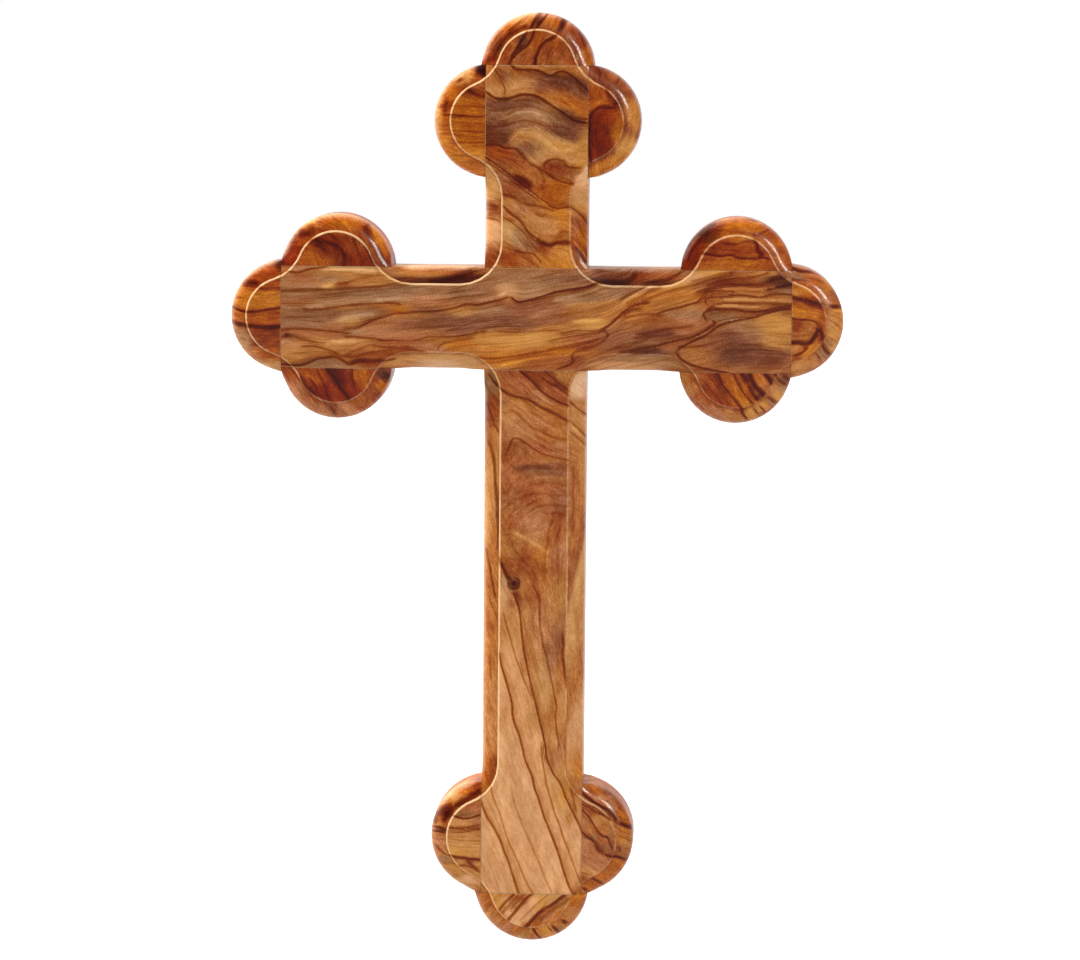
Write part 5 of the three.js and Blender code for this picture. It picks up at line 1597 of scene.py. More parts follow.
FIGURES["top_arm_crown_bud"] = Figure(base=Tone.RUST, grain=60, lean=-30, seed=11, face={
    Tone.RUST: "-10.7 86.4 1.6 2.9; 11.5 84.2 1.3 2",
    Tone.MOCHA: "-8.1 84.2 1.6 2; -2.7 85.8 1.6 2; 2.2 83.2 2 1.3; 7.6 83.2 2.6 1.3; 3.7 90.8 2 0.7; "
        "-8.5 89 1.6 1.3",
    Tone.CHESTNUT: "-6.2 84.2 1 1.6",
    Tone.PLUM: "-4.6 89 1 1.6",
    Tone.COCOA: "-3.6 83.2 2 1; 3.1 85.8 2 2.6; 8.9 85.8 2 2.6",
    Tone.COPPER: "-0.5 90.2 1.6 1.3; -0.8 87.4 1.3 1.6; 5.7 88 2 2",
}, edge={
    Tone.GOLD: "-1.7 97.7 1.3 1; -6.5 95.2 1.6 1.3",
    Tone.FAWN: "-3.6 96.5 1.6 1.3",
    Tone.HAZEL: "-9.1 92.7 1.6 1.3; 5.4 94.2 1 1; 17.1 83.1 0.7 1.6",
    Tone.COCOA: "-11.6 89.5 1.6 1.6; 9.2 93.3 1 1",
    Tone.MOCHA: "-13.5 86.3 1 2; 2.2 94.2 1 1",
    Tone.RUST: "-15.4 83.2 1 1.6; 6 97.7 0.7 1; 11.8 92.6 1.3 1.6; 14.4 90.7 1.3 2; 13.8 87.5 1 1.6",
    Tone.MAROON: "-12.6 87 1 2",
    Tone.UMBER: "-8.4 91.7 1.3 1",
    Tone.BISTRE: "0.2 95.5 0.7 1",
    Tone.SIENNA: "4.4 97.1 1.3 1.3; 15.8 86.3 0.7 2",
    Tone.TAWNY: "10.5 95.1 1 1",
    Tone.GINGER: "10.6 90.7 1 1",
    Tone.TOFFEE: "13.5 85 0.5 1.3",
}, veins=(
    Vein(0.95, 0.98, "1.1,99.1 0.4,97.7 -0.5,96.5 -1.7,94.2 -2.6,92.7", Zone.EDGE),
    Vein(0.9, 0.78, "-2.9,93.2 -3.8,91.5 -5,89.4 -6.2,87.4 -7.5,85.1 -8.8,82.3 -9.4,80.7"),
    Vein(0.75, 0.56, "3.4,98.7 2.5,97.1 1.5,95.8 0.1,93.8 -0.7,92.3", Zone.EDGE),
    Vein(0.9, 0.78, "-0.8,93.4 -1.3,91.8 -1.9,89.9 -3.3,87.9 -5.6,86.1 -7.5,84.3 -8.4,83.3"),
    Vein(1.15, 1.24, "9,97.1 8.4,95.7 7.6,93.9 6.6,92.1", Zone.EDGE),
    Vein(0.95, 0.78, "6.9,91.8 5.6,90.7 4.2,89.9 2.3,88.9 1,87.5 0.2,85.8 -0.5,84.1 -0.7,82.1 -1,80.7"),
    Vein(0.3, 0.33, "7.6,88.9 6.3,87 4.7,84.8 3.8,82.6"),
    Vein(0.3, 0.33, "10.1,89.2 11.4,87.3 12.7,85.1 14.1,82.6"),
    Vein(0.25, 0.33, "8.9,88.3 10.5,85.8 11.8,83.2"),
    Vein(0.25, 0.33, "2.5,86.4 1.5,84.5 0.9,82.6"),
    Vein(0.3, 0.33, "-7.9,90.2 -9.8,87.7 -11.3,84.9 -12.3,82.6"),
    Vein(0.65, 1.11, "-3,93.9 -5.9,93.1 -9.1,91.2 -11.6,88.6 -13.2,85.7 -14.8,82.5", Zone.EDGE),
    Vein(0.5, 0.65, "-4.9,95.8 -7.5,93.9 -10,91.7", Zone.EDGE),
    Vein(0.5, 0.65, "-11,90.8 -13.2,87.9 -15.1,84.7 -16.4,81.9", Zone.EDGE),
    Vein(0.35, 0.39, "11.8,93.9 13.4,91.3 14.8,88.2", Zone.EDGE),
    Vein(0.4, 0.39, "9.9,90.1 11.6,87.5 13.2,84.7 14.8,82.5", Zone.EDGE),
))
FIGURES["top_arm_left_bud"] = Figure(base=Tone.COPPER, grain=0, lean=0, seed=12, face={
    Tone.GARNET: "-20.3 72.8 3.9 1.3",
    Tone.HAZEL: "-21.8 69 5.9 2; -23.4 61.6 5.9 2.3; -21.7 57.5 5.9 1",
    Tone.COPPER: "-23.4 65.1 5.9 1",
    Tone.DRAB: "-20.1 54.6 5.2 1.6",
    Tone.GOLD: "-21.7 52.4 3.9 1.3",
    Tone.MOCHA: "-21.9 75 3.3 1",
}, edge={
    Tone.DRAB: "-31.1 69.2 1 1.6; -30.1 56.7 1.3 2; -26.8 51.2 3.3 2",
    Tone.COPPER: "-29.8 67.9 1 2; -29.5 60.8 1 2",
    Tone.SAND: "-31.4 65.3 1 2",
    Tone.HAZEL: "-29.5 64.7 1 2; -27.9 73.3 1.6 1.3",
    Tone.GOLD: "-31.4 61.5 1 2",
    Tone.SIENNA: "-21.9 48.7 4.6 1.6",
    Tone.OCHRE: "-25.4 75.5 1.6 1; -22.2 78.1 2 1.3",
    Tone.RUST: "-19.6 76.8 1.3 1.3; -23.4 73.9 1.6 1",
    # The bud is darkest in the corner where it meets the upright: this spot and the wide line below.
    Tone.MAROON: "-18 80.3 1.3 1.3",
}, veins=(
    # The wide dark line in the corner where the bud meets the upright.
    Vein(0.95, 2.94, "-19.6,80.6 -17,79.3 -14.4,77.7", Zone.EDGE),
    Vein(0.5, 0.98, "-22.5,74.1 -21.2,73.1 -18.6,71.8 -14.1,70.9", fade=-1),
    Vein(0.3, 0.52, "-31.5,68 -27.6,68.3 -25.1,68.3 -21.8,68.3 -14.1,67.7", Zone.BOTH),
    Vein(0.6, 0.65, "-30.5,65.5 -27.3,65.5 -24.4,65.3 -21.2,65.1 -14.1,65.1", Zone.BOTH, -1),
    Vein(0.2, 0.49, "-26.6,62.9 -21.8,62.9 -14,62.6"),
    Vein(0.25, 0.49, "-27.6,60.4 -23.4,60.3 -14,59.7"),
    Vein(0.3, 0.49, "-26.6,58.8 -23.4,58.8 -14,58.1"),
    Vein(0.35, 0.59, "-26.6,56.8 -21.7,56.8 -14,56.8"),
    Vein(0.2, 0.49, "-24.9,54.9 -20.1,55.2 -13.9,54.9"),
    Vein(0.6, 0.98, "-26,76.2 -23.8,77.1", Zone.EDGE),
    Vein(0.55, 1.31, "-28.9,70.4 -29.5,68.5 -29.8,66", Zone.EDGE),
))
FIGURES["left_arm_upper_bud"] = Figure(base=Tone.RUST, grain=-50, lean=0, seed=14, face={
    Tone.COPPER: "-73.6 18.5 3.3 2; -70.3 18.5 3.3 2; -62.1 27.2 3.9 1",
    Tone.GARNET: "-68.3 20.8 2.6 2; -63.7 18.5 2 2; -58.9 24 2.6 2",
    Tone.UMBER: "-65.4 25.6 3.9 1.3; -57.2 18.5 2.6 2; -65.4 22.1 2.6 1.6",
}, edge={
    Tone.HAZEL: "-64.1 31.2 3.9 2; -57.6 31.2 2.6 1.6; -49 23.2 1.6 2.3",
    Tone.DRAB: "-51 26.4 2 2.9",
    Tone.RUST: "-46.7 19 1.3 2; -69 29.3 2.3 1.3",
    Tone.MAHOGANY: "-80.5 22.1 1.6 3.3",
    Tone.OXBLOOD: "-78.5 18.3 1.6 2.6",
    Tone.SAND: "-73.9 29.9 2.6 1.3",
}, veins=(
    Vein(0.85, 2.61, "-77.2,26.4 -74.9,27.3 -72.9,28 -71,28.3", Zone.EDGE),
    Vein(0.85, 1.47, "-73.9,25.6 -72.6,25.1 -71,24.6 -68.7,24.3", fade=-1),
    Vein(0.5, 0.82, "-69.7,24.6 -67,24 -64.7,23.4 -63.4,22.4 -62.4,21.1 -62.1,19.2 -62.1,16.6 "
        "-62.1,14.6", fade=-1),
    Vein(0.35, 1.63, "-71.6,24.6 -69.7,23.3 -68,21.7 -67,19.8"),
    Vein(0.8, 0.92, "-61.8,21.1 -61.8,18.8 -61.8,16.6 -61.8,14.6"),
    Vein(0.35, 0.65, "-60.5,20.8 -59.8,18.5 -59.5,16.6"),
    Vein(0.35, 0.65, "-58.9,25.6 -57.9,22.4 -56.6,19.8 -55.2,16.6"),
    Vein(0.9, 1.63, "-55.6,30 -54.6,27.7 -53.3,24.5 -51.6,21.9 -50,19.3 -48,16.7", Zone.EDGE),
    Vein(0.75, 1.31, "-54.9,22.7 -53.6,20.8 -52.3,18.9 -51,16.6"),
    Vein(0.7, 1.63, "-83.4,16.3 -81.1,18.2", Zone.EDGE),
))
FIGURES["left_arm_outer_bud"] = Figure(base=Tone.RUST, grain=0, lean=0, seed=15, face={
}, edge={
    # The pale spots on the left rim and below it (toffee, caramel, honey, gold) are painted highlight: the
    # glare of the light from behind at the left.
    Tone.TOFFEE: "-95.2 -8.2 2 2.9",
    Tone.CARAMEL: "-92.9 -13.4 2.9 2",
    Tone.HONEY: "-86.9 -16.3 3.9 1.3",
    Tone.RUST: "-87 14 3.3 1.6",
    Tone.MAROON: "-82.4 16.3 1.6 1.3",
    Tone.GOLD: "-95.9 8.4 1.6 1.6",
}, both={
    Tone.DRAB: "-88.3 6.1 5.9 2; -93.9 5.8 2.6 2",
    Tone.RUST: "-88.3 9 5.2 1",
    Tone.COPPER: "-88.3 -0.1 5.2 1.3; -86.6 -12.1 3.9 1.3",
    Tone.SIENNA: "-96.5 -0.1 2 1.3",
    Tone.GARNET: "-88.3 -5.9 4.6 1.6; -86.6 -8.9 3.9 1.3",
}, veins=(
    Vein(0.85, 0.65, "-100.1,3.1 -98.5,2.8 -96.5,2 -94.2,1.5 -91.6,1.5 -89.3,1.7 -86.6,2.2 -84.7,2.5 "
        "-80.7,3.2", Zone.BOTH),
    Vein(0.97, 1.18, "-100.1,-1.7 -98.5,-2.1 -96.5,-2.7 -93.9,-3 -91.6,-3.2 -88.3,-3.5 -85.6,-3.5 "
        "-80.7,-2.8", Zone.BOTH),
    Vein(0.85, 1.63, "-95.6,10.1 -92.9,10.7 -89.6,10.6", Zone.EDGE),
    Vein(0.4, 0.98, "-90.6,9.7 -88.3,9 -86,9 -80.7,9.1"),
    Vein(0.3, 0.65, "-98.2,5.8 -94.9,5.9", Zone.EDGE),
))
FIGURES["left_arm_lower_bud"] = Figure(base=Tone.RUST, grain=-55, lean=-30, seed=16, face={
    Tone.COPPER: "-73.4 -18.6 2.6 1.1",
    Tone.RUST: "-70.1 -19.2 2 1.6; -53.1 -19.1 1.3 2",
    Tone.OXBLOOD: "-68.5 -24.7 2.3 2.6; -57.6 -24.7 2 2.3",
    Tone.MAHOGANY: "-63.6 -19.2 2.9 2",
    Tone.UMBER: "-61.9 -25.7 2.3 1.6",
    Tone.HAZEL: "-56 -18.8 1.6 1.6; -55 -21.7 1.3 1.6",
}, edge={
    Tone.PLUM: "-48.8 -18.7 1.6 1.3",
    Tone.COCOA: "-52.3 -24.9 2 2",
    Tone.CARAMEL: "-78 -25.7 2.3 2.6; -70.4 -30.3 3.3 1.3; -60.5 -30.5 2.9 1.3",
    Tone.GINGER: "-65.5 -29.6 1.6 1.3",
    Tone.MOCHA: "-55.3 -27.9 2.3 1.6",
    Tone.HAZEL: "-49.7 -22.6 1.3 1.3",
}, veins=(
    Vein(0.9, 2.29, "-77,-19.6 -75.4,-21.8 -73.7,-24.1 -72.1,-26.4"),
    Vein(0.6, 0.72, "-73.1,-19.9 -71.4,-22.1 -70.5,-24.7"),
    Vein(0.85, 0.98, "-67.9,-15.9 -66.9,-17.5 -65.5,-19.2 -64.2,-21.1 -62.9,-23.1 -61.2,-25 "
        "-59.9,-27", fade=1),
    Vein(0.5, 1.31, "-66.2,-15.3 -64.9,-17.5 -63.2,-19.8 -61.9,-22.1"),
    Vein(0.4, 0.65, "-70.8,-15.9 -70.1,-18.2 -68.5,-21.5 -67.5,-24.7 -66.2,-27"),
    Vein(0.5, 0.65, "-59.7,-15.2 -59.3,-17.5 -59,-20.4 -58.3,-23"),
    Vein(0.6, 1.96, "-49.4,-18 -47.5,-19.7", Zone.EDGE),
    Vein(0.35, 0.82, "-66.8,-28.3 -64.5,-31.9", Zone.EDGE),
    Vein(0.7, 0.98, "-49.1,-20.6 -48.1,-21.3", Zone.EDGE),
))
FIGURES["bottom_arm_left_bud"] = Figure(base=Tone.FAWN, grain=-3, lean=0, seed=20, face={
    Tone.TAWNY: "-21.4 -160.7 3.3 1",
    Tone.AMBER: "-22.4 -162.4 2.6 0.7",
    Tone.APRICOT: "-23 -165.6 3.3 0.7; -21.3 -170.1 5.2 1; -21.3 -172.5 5.2 1; -18.3 -175.1 2 1; "
        "-19.6 -182.9 2.6 1; -22.2 -180.9 1.6 0.7",
    Tone.CARAMEL: "-18.4 -165 1.3 0.7; -19.6 -179 1 0.5",
    Tone.SAND: "-23.6 -174.9 3.3 1",
    Tone.CAMEL: "-18.3 -179.1 1 0.5; -22.2 -178.9 1.6 0.7",
}, edge={
    Tone.STRAW: "-19.8 -184.7 2.6 1.3",
    Tone.SAND: "-24.8 -181.5 2.6 1",
    Tone.CARAMEL: "-30.5 -172.8 1.3 2",
    Tone.CAMEL: "-29.8 -175.8 1 1",
    Tone.AMBER: "-28.5 -178.2 1.3 1; -29.2 -168.6 1.3 0.3",
    Tone.OCHRE: "-26.4 -182.8 2.6 1.3",
    Tone.APRICOT: "-21.4 -187.5 2.9 1; -25.7 -157.6 1.3 0.8; -30.9 -166.8 1 0.5",
    Tone.COPPER: "-21.4 -155.2 2 0.8",
    Tone.RUST: "-18.7 -153.8 1.6 1",
    Tone.FAWN: "-27.6 -159.2 1.3 0.7; -29.9 -165.4 1 0.7",
    Tone.UMBER: "-27.3 -163 1 0.7",
    Tone.CHESTNUT: "-31.2 -170.8 1.3 1",
}, veins=(
    Vein(0.8, 0.52, "-26.4,-163 -24.4,-163.7 -22.4,-164.2 -20.4,-164.1 -18.4,-163.4 -16.4,-162.7"),
    Vein(0.55, 0.59, "-27.3,-167.3 -24.7,-167.5 -21.7,-167.3 -19,-166.6 -16.4,-165.9"),
    Vein(0.35, 0.36, "-24.7,-167.9 -21,-167.9 -18.7,-167.3 -16.4,-166.8"),
    Vein(0.6, 0.36, "-27.3,-168.7 -24,-168.8 -21,-168.6 -19,-168 -16.4,-167.6"),
    Vein(0.15, 0.33, "-27.3,-170.9 -23.6,-171.5 -20.3,-171.7 -16.3,-171.7"),
    Vein(0.15, 0.33, "-27.3,-173.3 -23.6,-173.7 -20.3,-173.7 -16.3,-173.7"),
    Vein(1, 0.59, "-33.2,-169.2 -30.5,-169 -27.9,-169.3", Zone.EDGE),
    Vein(1.1, 0.85, "-33.2,-167.9 -31.2,-167.6 -29.6,-167.9 -27.6,-168.2", Zone.EDGE),
    Vein(0.4, 0.85, "-31.8,-173.5 -29.8,-175.2 -27.8,-176.7", Zone.EDGE),
    Vein(0.9, 0.78, "-27.2,-176.5 -25.6,-176.9 -23.6,-177.2 -20.9,-177.6 -16.3,-177.9", Zone.BOTH),
    Vein(0.7, 0.92, "-21.6,-178.1 -19.9,-179.3 -18.2,-180.8 -16.6,-182"),
    Vein(0.6, 0.52, "-23.9,-180.2 -22.2,-179.8 -20.9,-180.1 -17.3,-181.2"),
    Vein(0.95, 1.63, "-16.4,-154.8 -19.4,-156.8 -22.3,-158.7 -25,-160.3 -27,-162 -28.3,-164 "
        "-28.8,-166.1", Zone.EDGE),
    Vein(0.95, 1.63, "-25.6,-160.2 -28.3,-161.3 -30.6,-163.1 -31.9,-165.1 -32.6,-167.1", Zone.EDGE),
))
FIGURES["bottom_arm_foot_bud"] = Figure(base=Tone.SIENNA, grain=42, lean=40, seed=22, face={
    Tone.GOLD: "-12.9 -190.5 2.6 1.3",
    Tone.SAND: "-9.8 -192.4 1.3 1.6; 4 -190.1 2.3 1; 3.4 -192.2 1.6 1",
    Tone.WHEAT: "-7.2 -193.1 1.3 2; -1.5 -196 2 1.3",
    Tone.OCHRE: "-5.5 -192.7 1 1.6; 7.7 -193.1 2.3 1; 12 -190.3 1.6 1.3; 10 -192.4 1.6 1",
    Tone.STRAW: "-4.2 -195 1.6 1.6; 0.4 -192.2 2.3 1.6; -4.5 -198.1 1.3 1; -6.8 -195.7 1 1.3",
    Tone.FAWN: "-1.9 -191.3 1 1.3",
    Tone.HONEY: "7.3 -190.1 2.3 1",
    Tone.CARAMEL: "5.4 -195.8 2 1",
}, edge={
    Tone.FAWN: "-17 -192.8 1.3 2.9; 8.9 -197.3 1.6 1",
    Tone.CAMEL: "-14.3 -198.1 2 2; 13.5 -195.2 1.6 1.6",
    Tone.CARAMEL: "-9.6 -202.4 3.3 1",
    Tone.OCHRE: "-3 -204 3.3 1; 10.2 -200.3 1.6 1",
    Tone.GOLD: "4 -202.1 1.6 1.3",
    Tone.SAND: "6.3 -200.7 1.3 1",
    Tone.HAZEL: "15.1 -191.5 1.6 1.6; 12.8 -189.1 1.6 1",
    Tone.APRICOT: "-12.3 -199.4 1.6 1",
}, veins=(
    Vein(0.65, 0.72, "-4.9,-188.4 -6.2,-189.9 -8.2,-191.9 -9.5,-193.6 -10.8,-195.1"),
    Vein(0.4, 0.36, "-3.9,-189.6 -5.9,-191.7 -7.8,-194.1 -9.5,-195.9"),
    Vein(0.8, 0.85, "1.4,-188.3 -0.6,-189.8 -2.9,-192.3 -5.2,-195.2 -7.8,-198.5"),
    Vein(0.35, 0.42, "-2.3,-189.1 -4.9,-192 -6.8,-194.4"),
    Vein(0.9, 0.65, "12,-188.6 9,-190.8 6.7,-192.6 4.4,-194"),
    Vein(0.95, 0.92, "5.1,-193.3 2.8,-195.4 1.1,-197.1 -0.5,-199 -2.5,-201"),
    Vein(0.25, 0.98, "13.6,-189.9 10.7,-191.7 8,-193.4 5.4,-195.5 2.8,-197.9"),
    Vein(0.3, 0.39, "6.3,-188.7 3.7,-190.8 1.1,-193.2 -1.5,-196 -3.8,-198.4"),
    Vein(0.95, 0.72, "0.6,-200.5 2,-202.8 3.7,-205.2", Zone.EDGE),
    Vein(1, 0.92, "6.9,-199.4 8.1,-200.9 9.6,-202.9", Zone.EDGE),
    Vein(0.8, 0.39, "5.6,-200.1 7,-202.1", Zone.EDGE),
    Vein(0.95, 1.05, "10.1,-197.6 11.9,-199.3", Zone.EDGE),
))
FIGURES["bottom_arm_right_bud"] = Figure(base=Tone.MOCHA, grain=-45, lean=0, seed=21, face={
    Tone.CARAMEL: "20.1 -178.1 2.9 1.6; 23.4 -178.7 2 1.6; 18.4 -172.7 1.6 1.6; 17.9 -164.7 1 2",
    Tone.CAMEL: "19.4 -180.8 2.6 1",
    Tone.GINGER: "22.3 -172.7 1 1.3; 25.3 -173 1 1.3",
    Tone.FAWN: "24.5 -166.6 1.3 1.6; 19.3 -166 1.3 1.6",
    Tone.APRICOT: "22.2 -164 2 1",
    Tone.AMBER: "20 -170 1.3 1",
    Tone.CHESTNUT: "25.9 -168.3 1 1.6",
    Tone.TAWNY: "23.3 -171.3 1.3 1",
    Tone.MOCHA: "19.2 -158.4 2 0.7",
}, edge={
    Tone.HAZEL: "22.8 -153.1 2.6 1; 31.2 -161.6 1.3 2; 32.6 -165 1 1.3; 29.1 -179.8 2 1.6; 20 -186.3 2 1",
    Tone.GARNET: "26.8 -155.4 2 1.3",
    Tone.COPPER: "28.8 -158.7 1.3 2; 20.2 -154.5 1.6 1",
    Tone.GOLD: "30.3 -169 1.6 1.6",
    Tone.OCHRE: "32.3 -171.7 1 1.3",
    Tone.CHESTNUT: "30.1 -175 1.3 1",
    Tone.SIENNA: "25.2 -183.5 2 1",
    Tone.WALNUT: "28.4 -173.7 0.8 0.8",
    Tone.CARAMEL: "24.2 -156.8 2 0.5",
    Tone.AMBER: "26.9 -159.7 1 1.3",
}, veins=(
    Vein(0.8, 0.65, "15.6,-167 17,-168.2 18.3,-169.4 19.6,-170.2 21,-171.5 22,-173.4 23,-174.4 24.6,-175.4 "
        "26.3,-176", Zone.BOTH),
    Vein(0.6, 1.18, "21,-171.7 22.3,-173.7 24,-175"),
    Vein(0.95, 0.78, "24.3,-175.3 26.3,-176 28.3,-176.3 29.9,-176.9 31.9,-177.9", Zone.BOTH),
    Vein(0.75, 0.49, "15.6,-159.8 17.2,-161.2 18.9,-162.8 20.2,-165 21.2,-166.7 22.2,-168 23.4,-169.2 "
        "24.9,-169.6 25.7,-171.3 26.6,-173.1 27.3,-174.6"),
    Vein(0.5, 0.78, "25.2,-170.6 26.3,-172.4 27.1,-173.9"),
    Vein(0.5, 0.42, "15.5,-158.1 17.5,-159.1 19.2,-159.8 20.5,-161 22.8,-161.6"),
    Vein(0.8, 0.59, "21.8,-161.4 23.5,-162 24.8,-162.8 26.1,-163.8 27.5,-164.4"),
    Vein(1, 0.78, "16.3,-154.8 18.6,-156.8 20.5,-158.2 22.3,-159.2 24.4,-160.3 25.9,-161.5 27.3,-163 "
        "27.8,-164.7", Zone.EDGE),
    Vein(1.1, 0.98, "28.6,-165 29.9,-165.5 31.6,-166.4 33.9,-167.7", Zone.EDGE),
    Vein(0.4, 0.52, "28.4,-173.1 29.4,-173.7 28.7,-174.7", Zone.EDGE),
    Vein(0.3, 0.39, "28.3,-168.7 31,-170.3 33,-171.6", Zone.EDGE),
    Vein(0.3, 0.39, "28.3,-167.2 31,-168.5 33.3,-169.6", Zone.EDGE),
    Vein(0.35, 0.39, "16.2,-181.3 19.1,-182.1"),
    Vein(0.9, 0.85, "17,-186.7 18.7,-188", Zone.EDGE),
    Vein(0.85, 0.65, "20,-183.4 22,-184.6 23.6,-185.9", Zone.EDGE),
))


@dataclass
class WoodPiece:
    """One piece of the cross: its mesh, its figure and its finish.

    Centre is the middle of its face in millimetres, and squeeze the sides, along x and z, down
    which its figure shrinks.
    """

    node: str
    slot: Slot
    finish: bpy.types.Material
    centre: tuple[float, float] = (0.0, 0.0)
    squeeze: tuple[float, float] = (1.0, 1.0)

    def build(self) -> bpy.types.Object:
        """Makes the piece and puts it in the place of its CAD node.

        Returns:
            The new object.
        """
        made = PieceMesh(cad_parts[self.node]).build(f"{self.node}_wood")
        FigurePainter(FIGURES[self.node], self.centre, self.squeeze).paint(made)
        made.data.materials.clear()
        made.data.materials.append(self.finish)
        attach(made, BODY)
        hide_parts(self.node)
        log.info("%s: %d faces", made.name, len(made.data.polygons))
        return made


@dataclass
class LappedBoards:
    """The crossbar and the upright, which lap at the crossing."""

    def build(self) -> list[bpy.types.Object]:
        """Builds both boards.

        Returns:
            The crossbar and the upright.
        """
        straight = (Streak(0.33, 0.5, 1.1), Streak(0.5, 5.0, 0.8), Streak(1.1, 12.0, 0.9),
                    Streak(2.8, 20.0, 0.6))
        level = LacqueredOliveWood("olive_wood_crossbar_lacquered", streaks=straight,
                                   hairline=Streak(0.6, 22.0, 0.4, 1.0)).build()
        tall = LacqueredOliveWood("olive_wood_upright_lacquered").build()
        return [
            WoodPiece("crossbar", Slot.CROSSBAR, level, squeeze=(0.0, 1.0)).build(),
            WoodPiece("upright", Slot.UPRIGHT, tall, squeeze=(1.0, 0.0)).build(),
        ]


@dataclass
class TrefoilEnd:
    """The three buds at the end of one arm: two at its sides and one at its end."""

    arm: str
    names: tuple[str, str, str]
    finish: bpy.types.Material

    def build(self) -> list[bpy.types.Object]:
        """Builds the three buds.

        Returns:
            The bud at the right of the arm, the one at its end and the one at its left, as seen
            along the arm from the crossing.
        """
        made = []
        for name in self.names:
            node = f"{self.arm}_arm_{name}_bud"
            low, high = flat_box(node)
            made.append(WoodPiece(node, Slot.BUD, self.finish, tuple((low + high) / 2)).build())
        return made


@dataclass(frozen=True)
class Lamp:
    """A square lamp: its place and width in metres, its power in watts and its linear colour.

    A lamp that isn't diffuse only shows in the gloss, and one that isn't glossy only lights.
    """

    name: str
    spot: tuple[float, float, float]
    size: float
    power: float
    colour: tuple[float, float, float] = WHITE_LIGHT
    diffuse: bool = True
    glossy: bool = True
    target: tuple[float, float, float] = (0.0, -0.01, -0.05)

    def build(self) -> None:
        """Adds the lamp, turned to the cross."""
        data = bpy.data.lights.new(self.name, "AREA")
        data.shape, data.size, data.energy, data.color = "SQUARE", self.size, self.power, self.colour
        lamp = bpy.data.objects.new(self.name, data)
        lamp.visible_diffuse, lamp.visible_glossy = self.diffuse, self.glossy
        aim = Vector(self.target) - Vector(self.spot)
        turn = aim.to_track_quat("-Z", "Y").to_matrix().to_4x4()
        lamp.matrix_world = Matrix.Translation(Vector(self.spot)) @ turn
        bpy.context.scene.collection.objects.link(lamp)


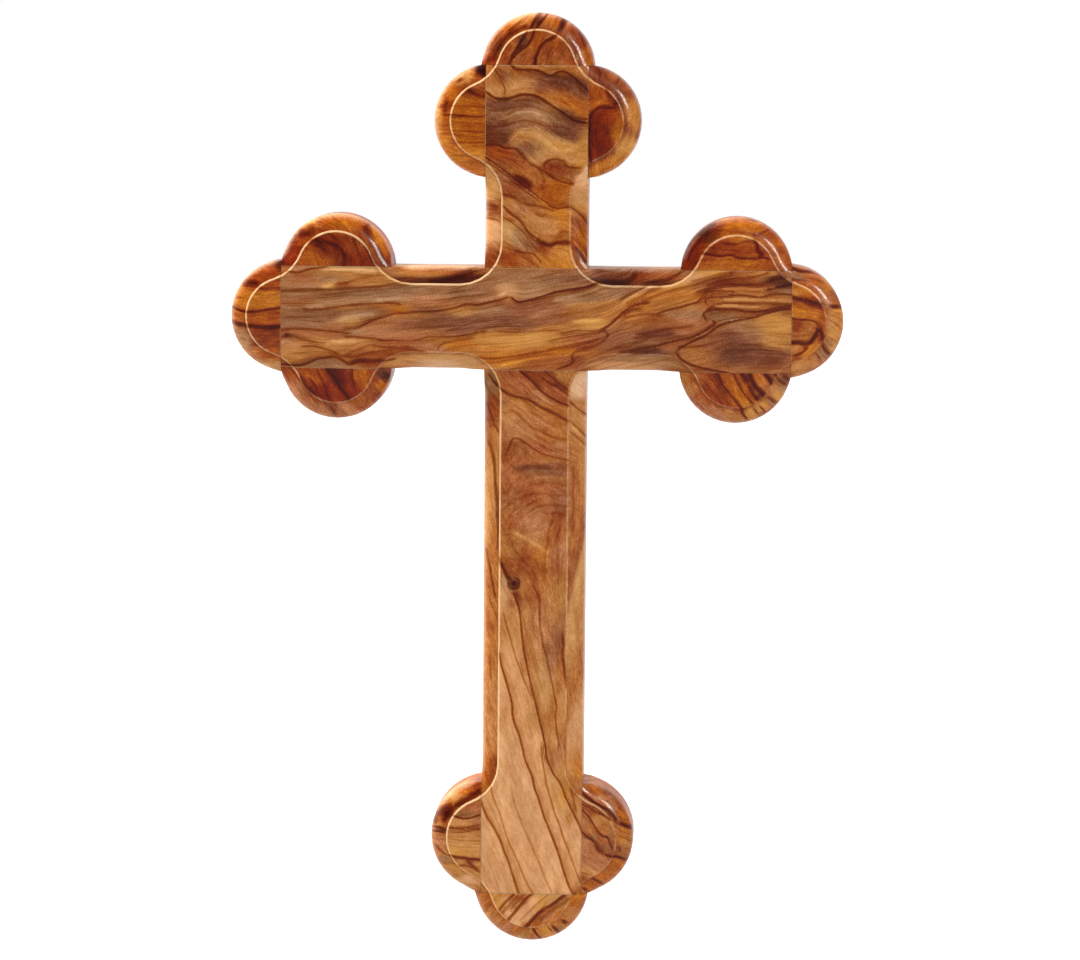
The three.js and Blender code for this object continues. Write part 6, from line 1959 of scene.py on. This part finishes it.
@dataclass
class Studio:
    """The camera, the lamps, the white surroundings and the floor.

    Lengths are in metres and angles in radians; the focal length is in pixels of the picture. The
    world lights the cross at its level. A gloss sees it brighten from front to back, over the
    gloss span, which is the y of the way that the gloss looks.
    """

    spot: tuple[float, float, float] = (0.06211, -1.2, 0.08933)
    pitch: float = -0.11888
    yaw: float = -0.05083
    roll: float = 0.0081
    focal_pixels: float = 3678.65
    picture_width: float = 1080.0
    sensor_width: float = 36.0
    clip: tuple[float, float] = (0.05, 50.0)
    key_spot: tuple[float, float, float] = (0.95, -1.45, 0.62)
    world_level: float = 0.66
    gloss_span: tuple[float, float] = (-0.7, 0.7)
    gloss_levels: tuple[float, float] = (0.2, 1.0)
    floor_height: float = -0.75
    floor_size: float = 12.0
    floor_grey: float = 0.55

    def build(self) -> None:
        """Sets up the whole studio."""
        self._camera()
        self._surroundings()
        self._floor()
        Lamp("key_lamp", self.key_spot, 0.28, 8.0).build()
        Lamp("key_lamp_gloss", self.key_spot, 0.45, 65.0, GLOSS_LIGHT, diffuse=False).build()
        Lamp("top_window", (-0.3, 0.45, 1.15), 1.2, 14.0, WARM_LIGHT).build()
        Lamp("left_window", (-1.2, 0.45, 0.2), 1.2, 12.0, WARM_LIGHT).build()
        Lamp("grazing_lamp", (-0.95, -0.15, 0.95), 0.3, 9.0, glossy=False).build()
        Lamp("table_bounce", (0.0, -0.25, -1.1), 1.0, 6.0).build()
        bpy.context.scene.view_settings.view_transform = "Standard"

    def _camera(self) -> None:
        """Stands the camera where the photograph was taken from."""
        cp, sp = math.cos(self.pitch), math.sin(self.pitch)
        cy, sy = math.cos(self.yaw), math.sin(self.yaw)
        ahead = Vector((sy * cp, cy * cp, sp))
        right = Vector((cy, -sy, 0.0))
        up = right.cross(ahead)
        cr, sr = math.cos(self.roll), math.sin(self.roll)
        right, up = cr * right + sr * up, -sr * right + cr * up
        data = bpy.data.cameras.new("camera")
        data.sensor_width = self.sensor_width
        data.lens = self.sensor_width * self.focal_pixels / self.picture_width
        data.clip_start, data.clip_end = self.clip
        camera = bpy.data.objects.new("camera", data)
        turn = Matrix((right, up, -ahead)).transposed()
        camera.matrix_world = Matrix.Translation(Vector(self.spot)) @ turn.to_4x4()
        bpy.context.scene.collection.objects.link(camera)
        bpy.context.scene.camera = camera

    def _seen(self, tree: bpy.types.NodeTree) -> bpy.types.NodeSocket:
        """Tells rays from the camera, a gloss or a glass from those that light the cross.

        Args:
            tree: The material's nodes.

        Returns:
            1 for such a ray and 0 for the others.
        """
        rays = add_node(tree, "ShaderNodeLightPath").outputs
        seen = add_node(tree, "ShaderNodeMath", {"operation": "MAXIMUM"},
                        in0=rays["Is Camera Ray"], in1=rays["Is Glossy Ray"]).outputs[0]
        return add_node(tree, "ShaderNodeMath", {"operation": "MAXIMUM"},
                        in0=seen, in1=rays["Is Transmission Ray"]).outputs[0]

    def _surroundings(self) -> None:
        """Makes the world white to look at and softer as a light."""
        world = bpy.data.worlds.new("white_surroundings")
        world.use_nodes = True
        tree = world.node_tree
        tree.nodes.clear()
        rays = add_node(tree, "ShaderNodeLightPath").outputs
        place = add_node(tree, "ShaderNodeTexCoord").outputs["Generated"]
        depth = add_node(tree, "ShaderNodeSeparateXYZ", in0=place).outputs["Y"]
        (front, back), (least, most) = self.gloss_span, self.gloss_levels
        glossy = add_node(tree, "ShaderNodeMapRange", in0=depth, in1=front, in2=back, in3=least,
                          in4=most).outputs[0]
        level = add_node(tree, "ShaderNodeMix", {"data_type": "FLOAT"}, in0=rays["Is Glossy Ray"],
                         in2=self.world_level, in3=glossy).outputs[0]
        level = add_node(tree, "ShaderNodeMath", {"operation": "MAXIMUM"}, in0=level,
                         in1=rays["Is Camera Ray"]).outputs[0]
        level = add_node(tree, "ShaderNodeMath", {"operation": "MAXIMUM"}, in0=level,
                         in1=rays["Is Transmission Ray"]).outputs[0]
        white = add_node(tree, "ShaderNodeBackground", in0=(*WHITE_LIGHT, 1.0), in1=level)
        add_node(tree, "ShaderNodeOutputWorld", in0=white.outputs[0])
        bpy.context.scene.world = world

    def _floor(self) -> None:
        """Lays a pale floor below the cross, which hangs above it."""
        bm = bmesh.new()
        bmesh.ops.create_grid(bm, x_segments=1, y_segments=1, size=self.floor_size)
        bmesh.ops.translate(bm, verts=bm.verts, vec=(0.0, 0.0, self.floor_height))
        mesh = bpy.data.meshes.new("floor")
        bm.to_mesh(mesh)
        bm.free()
        floor = bpy.data.objects.new("floor", mesh)
        bpy.context.scene.collection.objects.link(floor)
        material = bpy.data.materials.new("matt_painted_floor")
        material.use_nodes = True
        tree = material.node_tree
        tree.nodes.clear()
        grey = (self.floor_grey, self.floor_grey, self.floor_grey, 1.0)
        paint = add_node(tree, "ShaderNodeBsdfDiffuse", in0=grey)
        glow = add_node(tree, "ShaderNodeEmission", in0=(*WHITE_LIGHT, 1.0), in1=self._seen(tree))
        both = add_node(tree, "ShaderNodeAddShader", in0=paint.outputs[0], in1=glow.outputs[0])
        add_node(tree, "ShaderNodeOutputMaterial", in0=both.outputs[0])
        mesh.materials.append(material)


def main() -> None:
    """Builds the cross and its studio."""
    logging.basicConfig(level=logging.INFO)
    LappedBoards().build()
    finish = LacqueredOliveWood("olive_wood_bud_lacquered", roughness=0.38, coat=0.14, ink=1.45).build()
    for arm, names in TREFOILS.items():
        TrefoilEnd(arm, names, finish).build()
    Studio().build()


if __name__ == "__main__":
    main()
